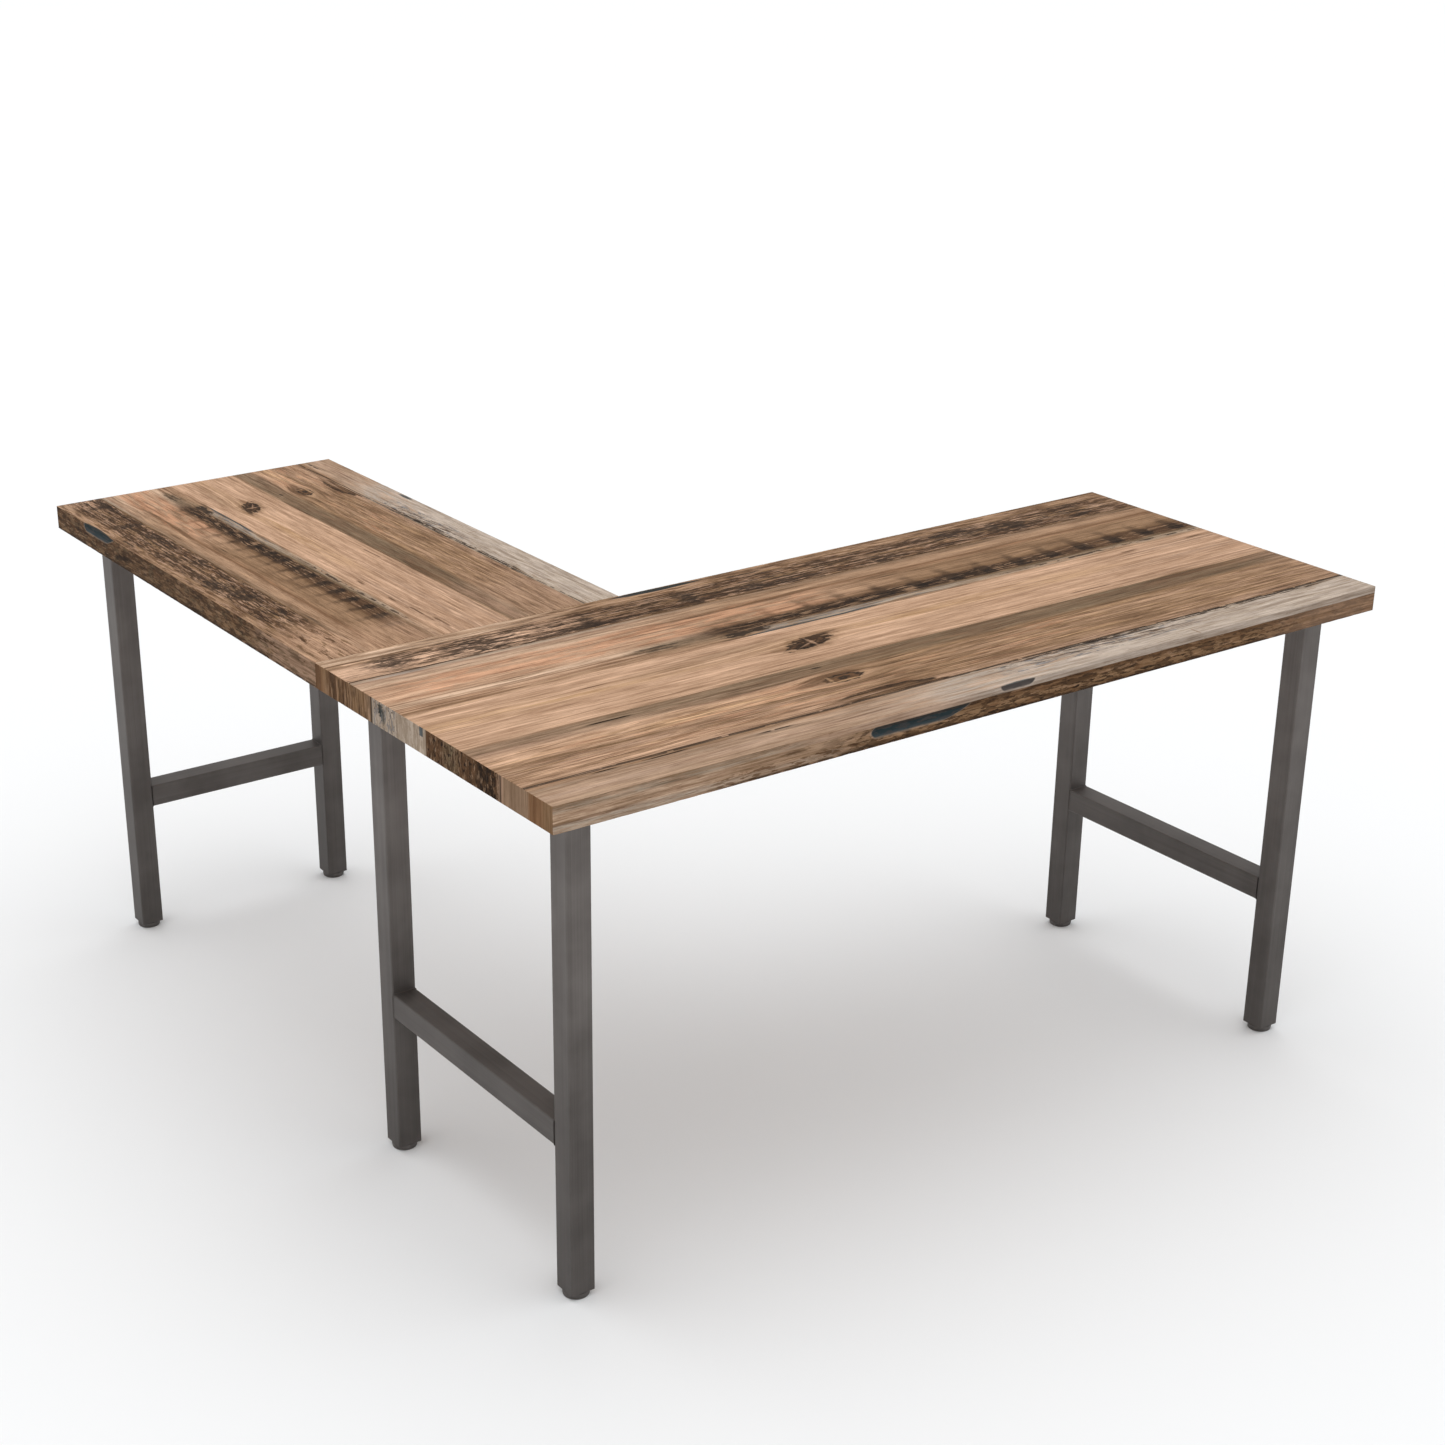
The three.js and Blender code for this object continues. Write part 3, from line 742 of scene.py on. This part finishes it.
def end_place(axis, start):
    """Places on a sawn end: u down, and v across the planks from start."""
    def place(g):
        coordinates = g.object_place()
        across = g.minus(coordinates["xyz".index(axis)], start / MM)
        return g.minus(TOP_HEIGHT / MM, coordinates[2]), across, 0.0
    return place


# ---- Planks ----

ARRIS = 0.8 * MM
GLUED_ARRIS = 0.12 * MM
GLUED_RIPPLE = 0.25 * MM
GLUE_OVERLAP = 0.14 * MM
ARRIS_STEPS = 4
STATION_STEP = 3 * MM

# A plank's four long arrises, in the order of its cross-section.
HIGH_TOP, LOW_TOP, LOW_BOTTOM, HIGH_BOTTOM = range(4)

# How far an outer face stands back, at each place in from a plank's end, in millimetres.
END_EASE = [(0.0, 0.9), (0.25, 0.45), (0.9, 0.0)]

# A face belongs to the side it looks at when its normal has more of that way than this.
FACING = 0.6


def ripple(place, length, seed):
    """Smooth noise along a plank, from -1 to 1, with features about that long."""
    return noise.noise(Vector((place / length, seed * 7.31, seed * 1.7)))


def stations(length):
    """Places along a plank: eased at both ends, with even steps between."""
    ease_end = END_EASE[-1][0] * MM
    count = max(2, round((length - 2 * ease_end) / STATION_STEP))
    inner = [ease_end + (length - 2 * ease_end) * i / count for i in range(count + 1)]
    first = [(place * MM, inset * MM) for place, inset in END_EASE[:-1]]
    last = [(length - place, inset) for place, inset in reversed(first)]
    return first + [(place, 0.0) for place in inner] + last


def corner(centre_a, centre_z, radius, start):
    """A quarter turn of points, anticlockwise from the angle start."""
    angles = [start + math.pi / 2 * i / ARRIS_STEPS for i in range(ARRIS_STEPS + 1)]
    return [(centre_a + radius * math.cos(angle), centre_z + radius * math.sin(angle))
            for angle in angles]


def plank_section(low, high, bottom, top, radii, cracks):
    """One cross-section as (across, height) points, anticlockwise from the high side's top corner.
    The cracks are (place, half width, depth), from the high side to the low."""
    high_top, low_top, low_bottom, high_bottom = radii
    points = corner(high - high_top, top - high_top, high_top, 0)
    for place, half, depth in cracks:
        points += [(place + half, top), (place, top - depth), (place - half, top)]
    points += corner(low + low_top, top - low_top, low_top, math.pi / 2)
    points += corner(low + low_bottom, bottom + low_bottom, low_bottom, math.pi)
    points += corner(high - high_bottom, bottom + high_bottom, high_bottom, 1.5 * math.pi)
    return points


def lofted_mesh(name, rings, looped=False):
    """A mesh through rings of points, each anticlockwise as seen from the last one. Both ends
    are closed, or the last ring joins the first when looped."""
    count = len(rings[0])
    vertices = [point for ring in rings for point in ring]
    faces = []
    for ring in range(len(rings) if looped else len(rings) - 1):
        a, b = ring * count, (ring + 1) % len(rings) * count
        for i in range(count):
            j = (i + 1) % count
            faces.append((a + i, a + j, b + j, b + i))
    if not looped:
        faces.append(tuple(reversed(range(count))))
        faces.append(tuple(range(len(vertices) - count, len(vertices))))
    mesh = bpy.data.meshes.new(name)
    mesh.from_pydata(vertices, [], faces)
    return mesh


def plank_mesh(name, box, along_x, outer_low_side, outer_high_side, wear, cracks, seed):
    """A plank swept along X or Y through cross-sections that wear and crack as they go."""
    (x0, y0, z0), (x1, y1, z1) = box
    start, end, low, high = (x0, x1, y0, y1) if along_x else (y0, y1, x0, x1)
    low -= 0 if outer_low_side else GLUE_OVERLAP
    high += 0 if outer_high_side else GLUE_OVERLAP
    base_low = ARRIS if outer_low_side else GLUED_ARRIS
    base_high = ARRIS if outer_high_side else GLUED_ARRIS
    bases = [base_high, base_low, base_low, base_high]

    def radius(index, place):
        if index in wear:
            return bases[index] + wear[index](place)
        return bases[index] + GLUED_RIPPLE * abs(ripple(place, 30 * MM, seed + index))

    rings = []
    for place, inset in stations(end - start):
        section = plank_section(low + (inset if outer_low_side else 0),
                                high - (inset if outer_high_side else 0),
                                z0 + inset, z1 - inset,
                                [radius(index, place) for index in range(4)],
                                [crack_at(place) for crack_at in cracks])
        along = start + place
        rings.append([(along, a, z) if along_x else (a, along, z) for a, z in section])
    mesh = lofted_mesh(name, rings)
    if not along_x:
        mesh.flip_normals()
    mesh.update()
    return mesh


def paint_faces(mesh, along_x, materials):
    """Gives the faces that look up or down, the low and high long edges, and the low and high
    ends their materials, in that order."""
    for made in materials:
        mesh.materials.append(made)
    places = [vertex.co for vertex in mesh.vertices]
    middle = [(min(place[axis] for place in places) + max(place[axis] for place in places)) / 2
              for axis in (0, 1)]
    end_axis, side_axis = (0, 1) if along_x else (1, 0)
    for polygon in mesh.polygons:
        if abs(polygon.normal[end_axis]) > FACING:
            before_middle = polygon.center[end_axis] < middle[end_axis]
            polygon.material_index = 3 if before_middle else 4
        elif abs(polygon.normal.z) > FACING:
            polygon.material_index = 0
        else:
            before_middle = polygon.center[side_axis] < middle[side_axis]
            polygon.material_index = 1 if before_middle else 2


def add_object(name, mesh, body, slot, *replaced):
    made = bpy.data.objects.new(name, mesh)
    bpy.context.scene.collection.objects.link(made)
    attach(made, body)
    if replaced:
        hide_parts(*replaced)
    return made


def window(value, low, high, soft):
    """1 between low and high and 0 outside, with soft ends."""
    def ease(t):
        t = min(1.0, max(0.0, t))
        return t * t * (3 - 2 * t)
    return ease((value - low) / soft + 0.5) * ease((high - value) / soft + 0.5)


CRACK_END = 12 * MM
CRACK_WANDER = 0.6 * MM
HAIRLINE = 0.15 * MM


def crack(v, start, end, depth, width, seed):
    """A crack in the main top. v is how far it is from the back edge, and start and end are how
    far along the top, in millimetres like its depth and width."""
    def cut(place):
        strength = window(place, start * MM, end * MM, CRACK_END)
        size = strength * (0.65 + 0.35 * ripple(place, 6 * MM, seed))
        across = MAIN_HIGH.y - v * MM + CRACK_WANDER * ripple(place, 40 * MM, seed + 3)
        return across, HAIRLINE + width * MM / 2 * size, depth * MM * size
    return cut


CHIP_LENGTH = 18 * MM
CRUMB_LENGTH = 5 * MM
CHIP_FREE = 0.15
ARRIS_WEAR = 0.2 * MM


def chipped(depth, seed):
    """Wear along an arris, mostly slight with a chip here and there."""
    def amount(place):
        chip = ripple(place, CHIP_LENGTH, seed) + 0.4 * ripple(place, CRUMB_LENGTH, seed + 1)
        worn = ARRIS_WEAR * abs(ripple(place, 60 * MM, seed + 2))
        return depth * MM * max(0.0, chip - CHIP_FREE) + worn
    return amount


# The arrises that are chipped, each with its chips' depth in millimetres and their seed.
CHIPPED = {
    "board_main_1": {LOW_BOTTOM: (1.2, 3), LOW_TOP: (0.5, 4), HIGH_TOP: (2.0, 6)},
    "board_main_2": {LOW_TOP: (2.4, 9)},
    "board_main_5": {HIGH_TOP: (1.2, 13), HIGH_BOTTOM: (1.8, 14)},
    "board_return_1": {LOW_BOTTOM: (1.2, 23), LOW_TOP: (0.8, 24)},
    "board_return_4": {HIGH_TOP: (1.8, 26)},
    "board_return_5": {LOW_TOP: (1.6, 27), HIGH_TOP: (0.6, 28)},
}

# What crack takes, for the cracks in each board, from the board's back to its front.
CRACKED = {
    "board_main_1": [(550, 100, 240, 0.9, 1.2, 2), (561, 350, 400, 0.7, 1.0, 5)],
    "board_main_2": [(412, 185, 245, 1.2, 2.0, 7), (480, 690, 740, 0.7, 1.2, 8)],
    "board_main_5": [(45, 1000, 1060, 0.8, 1.4, 11)],
}


def add_top(name, woods, along_x, place_in, outsides, first_seed):
    """The boards of one top, from the low side to the high. outsides are the materials of its
    long edges and ends."""
    for index, wood in enumerate(woods):
        board = f"board_{name}_{index + 1}"
        node = f"{name}_plank_{index + 1}"
        wear = {arris: chipped(*how) for arris, how in CHIPPED.get(board, {}).items()}
        cracks = [crack(*how) for how in CRACKED.get(board, [])]
        mesh = plank_mesh(board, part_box(node), along_x, index == 0, index == len(woods) - 1,
                          wear, cracks, first_seed + index)
        face = wood_material(f"{wood}_{name}", place_in, WOODS[wood])
        paint_faces(mesh, along_x, [face, *outsides])
        add_object(board, mesh, "desk", wood, node)


def add_tops():
    def edge(name, place, paint_layers):
        return wood_material(name, place, paint_layers, wander=1.2, roughness=0.58)

    def end(name, place, paint_layers):
        return wood_material(name, place, paint_layers, wander=1.5, roughness=0.62)

    along_main = edge_place("x", MAIN_LOW.x, 1)
    across_main = end_place("y", MAIN_LOW.y)
    along_return = edge_place("y", OUTER_HIGH.y, -1)
    return_end = end("return_end", end_place("x", OUTER_LOW.x), plain_end)
    woods = list(WOODS)
    add_top("main", woods[::-1], True, main_place,
            [edge("front_edge", along_main, pale_edge), edge("back_edge", along_main, dark_edge),
             end("main_end", across_main, main_end), end("main_end_right", across_main, plain_end)],
            first_seed=1)
    add_top("return", woods, False, return_place,
            [edge("outer_edge", along_return, dark_edge),
             edge("inner_edge", along_return, pale_edge), return_end, return_end],
            first_seed=21)


# ---- Steel, zinc and nylon ----

# Painted light and shade on the steel: its tone is scaled lighter up near the tops and darker down
# at the floor.
STEEL_PAINTED_LIGHT_AT_TOP = 1.3
STEEL_PAINTED_SHADE_AT_FLOOR = 0.78
FINE_RELIEF = 0.1 * MM


def brushed_steel(axis):
    """Raw steel under clear lacquer, brushed along the tube."""
    g = Surface(f"brushed_steel_{axis}")
    place = g.object_place()

    def drawn_out(length, width, detail, roughness):
        sizes = [length if name == axis else width for name in "xyz"]
        return g.noise_by_size(place, sizes, detail, roughness)

    hair = drawn_out(260, 1.1, 4, 0.6)
    broad = drawn_out(420, 9, 3, 0.5)
    cloud = drawn_out(90, 90, 3, 0.55)
    shade = g.plus(g.times(hair, 0.25), g.times(broad, 0.2), g.times(cloud, 0.55))
    colour = g.mix(g.rise(shade, 0.2, 0.8), tone("steel_dark"), tone("steel_light"))
    # Painted shade: the steel's colour is scaled from dark at the floor to light at the tops.
    painted_shade_by_height = g.linear(g.rise(place[2], 0, TOP_HEIGHT / MM),
                          STEEL_PAINTED_LIGHT_AT_TOP - STEEL_PAINTED_SHADE_AT_FLOOR, STEEL_PAINTED_SHADE_AT_FLOOR)
    rough = g.linear(cloud, 0.2, 0.42)
    return g.finish(g.scaled(colour, painted_shade_by_height), rough, hair, bump=0.05, depth=FINE_RELIEF,
                    metallic=0.45, specular=0.3)


def zinc_plate():
    """Zinc plating with the dull clouds of its passivation."""
    g = Surface("zinc_plate")
    place = g.object_place()
    cloud = g.noise_by_size(place, [4] * 3, 4, 0.6)
    scratch = g.noise_by_size(place, [0.6] * 3, 3, 0.6)
    colour = g.mix(g.rise(cloud, 0.35, 0.65), tone("zinc"), tone("zinc_dull"))
    rough = g.linear(cloud, 0.25, 0.22)
    return g.finish(colour, rough, scratch, bump=0.1, depth=FINE_RELIEF, metallic=0.95)


def moulded_nylon(name, light, dark):
    """Moulded plastic with a fine spark-eroded grain and scuffs."""
    g = Surface(name)
    place = g.object_place()
    pebble = g.noise_by_size(place, [0.45] * 3, 2, 0.5)
    scuff = g.noise_by_size(place, [9] * 3, 4, 0.65)
    colour = g.mix(g.rise(scuff, 0.4, 0.7), tone(dark), tone(light))
    rough = g.linear(scuff, 0.3, 0.36)
    return g.finish(colour, rough, pebble, bump=0.2, depth=FINE_RELIEF, specular=0.45)


def dress(node, made):
    """Gives a CAD node one material."""
    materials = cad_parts[node].data.materials
    materials.clear()
    materials.append(made)


LEG_PLACES = ["left_front", "left_back", "right_front", "right_back", "return_outer",
              "return_inner"]
FRAMES = {"left": "y", "right": "y", "return": "x"}


def dress_metal():
    steel = {axis: brushed_steel(axis) for axis in "xyz"}
    zinc = zinc_plate()
    insert = moulded_nylon("insert_nylon", "nylon_worn", "nylon")
    for place in LEG_PLACES:
        dress(f"leg_{place}", steel["z"])
        dress(f"insert_{place}", insert)
    for name, axis in FRAMES.items():
        dress(f"rail_{name}", steel[axis])
        dress(f"mounting_bar_{name}", steel[axis])
    dress("joining_plate", steel["x"])
    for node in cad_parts:
        if node.startswith("screw_"):
            dress(node, zinc)
    return steel, zinc


# ---- Feet, studs and welds ----

def circle(radii, z):
    """Points about Z at one height, anticlockwise, with a radius for each."""
    turns = [2 * math.pi * i / len(radii) for i in range(len(radii))]
    return [(radius * math.cos(turn), radius * math.sin(turn), z)
            for radius, turn in zip(radii, turns)]


def smooth_but_for(mesh, degrees):
    """Smooth shading, with edges sharper than that left crisp."""
    mesh.shade_smooth()
    mesh.set_sharp_from_angle(angle=math.radians(degrees))


def rounded(points, fillet, steps=3):
    """The profile with its marked corners rounded: points are (radius, height, rounded or not)."""
    made = []
    for i, (radius, height, soft) in enumerate(points):
        here = Vector((radius, height))
        if not soft:
            made.append(here)
            continue
        before = Vector(points[i - 1][:2]) - here
        after = Vector(points[i + 1][:2]) - here
        start = here + before.normalized() * fillet
        end = here + after.normalized() * fillet
        for k in range(steps + 1):
            t = k / steps
            made.append(start * (1 - t) ** 2 + here * 2 * t * (1 - t) + end * t ** 2)
    return made


FOOT_SEGMENTS = 72
FOOT_FILLET = 0.35 * MM
FOOT_SHARP = 35
PAD_HEIGHT = 2.9 * MM
PAD_INSET = 0.5 * MM
PAD_CHAMFER = 0.8 * MM
GROOVE_DEPTH = 0.7 * MM
GROOVE_HEIGHT = 0.6 * MM
HUB_SHARE = 0.45
SOCKET_SHARE = 0.34
SOCKET_CHAMFER = 0.76 * MM


def foot_profile(radius, height):
    """A pad, a thin groove above it, and the body up to its hub and the stud's socket."""
    pad = radius - PAD_INSET
    neck = pad - GROOVE_DEPTH
    body = PAD_HEIGHT + GROOVE_HEIGHT
    hub = HUB_SHARE * radius
    socket = SOCKET_SHARE * radius
    return rounded([
        (pad - PAD_CHAMFER, 0, False),
        (pad, 0.9 * MM, True),
        (pad, PAD_HEIGHT, True),
        (neck, PAD_HEIGHT + 0.1 * MM, False),
        (neck, body - 0.1 * MM, False),
        (radius, body, True),
        (radius, height - 0.7 * MM, True),
        (hub + 1.5 * MM, height - 0.5 * MM, False),
        (hub, height, True),
        (socket, height, False),
        (socket - SOCKET_CHAMFER, height - 0.4 * MM, False),
    ], FOOT_FILLET)


def foot_mesh(name, radius, height):
    rings = [circle([reach] * FOOT_SEGMENTS, z) for reach, z in foot_profile(radius, height)]
    mesh = lofted_mesh(name, rings)
    smooth_but_for(mesh, FOOT_SHARP)
    return mesh


THREAD_PITCH = 1.5 * MM
THREAD_DEPTH = 0.85 * MM
THREAD_CHAMFER = 0.8 * MM
THREAD_SEGMENTS = 24
THREAD_STEPS_PER_TURN = 8
FLANK_SLOPE = 1.25
CREST_FLAT = 0.12


def thread_mesh(name, radius, length):
    """A stud with a right-hand thread cut all along it and chamfered ends."""
    def reach(turn, z):
        flank = abs(2 * ((z / THREAD_PITCH - turn) % 1.0) - 1)
        cut = THREAD_DEPTH * min(1.0, max(0.0, flank * FLANK_SLOPE - CREST_FLAT))
        chamfer = 1 - min(1.0, z / THREAD_CHAMFER, (length - z) / THREAD_CHAMFER)
        return radius - cut - chamfer * (THREAD_DEPTH - cut)

    steps = round(length / THREAD_PITCH * THREAD_STEPS_PER_TURN)
    heights = [length * step / steps for step in range(steps + 1)]
    return lofted_mesh(name, [
        circle([reach(i / THREAD_SEGMENTS, z) for i in range(THREAD_SEGMENTS)], z)
        for z in heights])


def add_levellers(zinc):
    nylon = moulded_nylon("foot_nylon", "steel", "steel_dark")
    kinds = (("foot", "glide", foot_mesh, nylon, "foot_nylon"),
             ("stud", "threaded_stud", thread_mesh, zinc, "fastener_steel"))
    for place in LEG_PLACES:
        for kind, looks, make, material, slot in kinds:
            node = f"{kind}_{place}"
            low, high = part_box(node)
            name = f"{looks}_{place}"
            mesh = make(name, (high.x - low.x) / 2, high.z - low.z)
            mesh.transform(Matrix.Translation(((low.x + high.x) / 2, (low.y + high.y) / 2, low.z)))
            mesh.materials.append(material)
            add_object(name, mesh, node, slot, node)


WELD_RADIUS = 1.3 * MM
WELD_STEP = 1.2 * MM
WELD_UNEVEN = 0.12
WELD_SINK = 0.2 * MM
WELD_ROOT = 0.4 * MM
WELD_OVERLAP = 0.25 * MM
WELD_ARC_STEPS = 5
WELD_CORNER_STEPS = 4
WELD_SHARP = 50
TUBE_CORNER = 2.4 * MM


def square_path(half):
    """Points round a tube's outline, with the way out at each."""
    straight = half - TUBE_CORNER
    count = max(2, round(2 * straight / WELD_STEP))
    path = []
    for side in range(4):
        turn = Matrix.Rotation(side * math.pi / 2, 2)
        for i in range(count):
            along = -straight + 2 * straight * i / count
            path.append((turn @ Vector((half, along)), turn @ Vector((1, 0))))
        for i in range(WELD_CORNER_STEPS):
            bend = math.pi / 2 * i / WELD_CORNER_STEPS
            way = Vector((math.cos(bend), math.sin(bend)))
            path.append((turn @ (Vector((straight, straight)) + way * TUBE_CORNER), turn @ way))
    return path


def weld_mesh(name, half, seed):
    """A ground fillet of weld round a square tube that meets a flat at z = 0."""
    rings = []
    for index, (point, out) in enumerate(square_path(half)):
        size = WELD_RADIUS * (1 + WELD_UNEVEN * ripple(index * WELD_STEP, 3 * MM, seed))
        ring = []
        for k in range(WELD_ARC_STEPS + 1):
            angle = math.pi / 2 * k / WELD_ARC_STEPS
            place = point + out * (size * (1 - math.sin(angle)) - WELD_SINK)
            ring.append((*place, size * (1 - math.cos(angle))))
        root = point - out * WELD_ROOT
        rings.append([*ring, (*root, size), (*root, 0)])
    mesh = lofted_mesh(name, rings, looped=True)
    mesh.flip_normals()
    smooth_but_for(mesh, WELD_SHARP)
    return mesh


def add_weld(name, centre, facing, half, steel, seed):
    """A weld round a tube end, on the flat that looks along facing."""
    mesh = weld_mesh(name, half, seed)
    turn = Vector((0, 0, 1)).rotation_difference(facing).to_matrix().to_4x4()
    mesh.transform(Matrix.Translation(centre) @ turn)
    mesh.materials.append(steel)
    add_object(name, mesh, "desk", "frame_steel")


def add_welds(steel, first_seed=40):
    """Welds round both ends of each rail and the top of each leg."""
    welds = []
    for name, axis in FRAMES.items():
        low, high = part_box(f"rail_{name}")
        along = "xyz".index(axis)
        for label, end, side in (("a", low[along], 1), ("b", high[along], -1)):
            facing = Vector((0, 0, 0))
            facing[along] = side
            centre = (low + high) / 2
            centre[along] = end - side * WELD_OVERLAP
            half = (high.z - low.z) / 2
            welds.append((f"weld_rail_{name}_{label}", centre, facing, half, steel[axis]))
    for place in LEG_PLACES:
        low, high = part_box(f"leg_{place}")
        centre = Vector(((low.x + high.x) / 2, (low.y + high.y) / 2, high.z + WELD_OVERLAP))
        half = (high.x - low.x) / 2
        welds.append((f"weld_top_{place}", centre, Vector((0, 0, -1)), half, steel["z"]))
    for index, weld in enumerate(welds):
        add_weld(*weld, first_seed + index)


# ---- Stage ----

CAMERA_PLACE = Vector((-2.2215, -3.1108, 1.9663))
CAMERA_AZIMUTH = 34.56
CAMERA_ELEVATION = 23.82
CAMERA_LENS = 62.68
CAMERA_SHIFT = (0.0547, 0.0697)
CAMERA_SENSOR = 36
CAMERA_REACH = 200
FLOOR_SIZE = 80


def add_camera():
    camera = bpy.data.cameras.new("camera")
    camera.lens = CAMERA_LENS
    camera.sensor_width = CAMERA_SENSOR
    camera.shift_x, camera.shift_y = CAMERA_SHIFT
    camera.clip_end = CAMERA_REACH
    made = bpy.data.objects.new("camera", camera)
    made.location = CAMERA_PLACE
    made.rotation_euler = (math.radians(90 - CAMERA_ELEVATION), 0, math.radians(-CAMERA_AZIMUTH))
    bpy.context.scene.collection.objects.link(made)
    bpy.context.scene.camera = made


def add_floor():
    half = FLOOR_SIZE / 2
    mesh = bpy.data.meshes.new("floor")
    corners = [(-half, -half, 0), (half, -half, 0), (half, half, 0), (-half, half, 0)]
    mesh.from_pydata(corners, [], [(0, 1, 2, 3)])
    mesh.materials.append(Surface("floor").finish(tone("floor"), roughness=0.9, specular=0.1))
    made = bpy.data.objects.new("floor", mesh)
    bpy.context.scene.collection.objects.link(made)


# The studio's light: dim round about, brighter overhead, with a pale haze low down.
SIDE_LIGHT = 0.4
OVERHEAD_LIGHT = 1.6
HAZE_LIGHT = 0.55
HAZE_TOP = 0.16


def add_light():
    world = bpy.data.worlds.new("studio")
    bpy.context.scene.world = world
    world.use_nodes = True
    g = Graph(world.node_tree)
    way = g.node("ShaderNodeTexCoord").outputs["Generated"]
    height = g.node("ShaderNodeSeparateXYZ", way).outputs["Z"]
    above = g.math("MAXIMUM", height, 0.0)
    overhead = g.times(above, above, OVERHEAD_LIGHT)
    haze = g.times(g.fall(height, 0.0, HAZE_TOP), HAZE_LIGHT)
    background = world.node_tree.nodes["Background"]
    background.inputs["Color"].default_value = (1, 1, 1, 1)
    g.feed(background.inputs["Strength"], g.plus(SIDE_LIGHT, overhead, haze))
    bpy.context.scene.view_settings.view_transform = "Standard"


add_camera()
add_light()
add_floor()
add_tops()
steel_by_axis, zinc_material = dress_metal()
add_levellers(zinc_material)
add_welds(steel_by_axis)
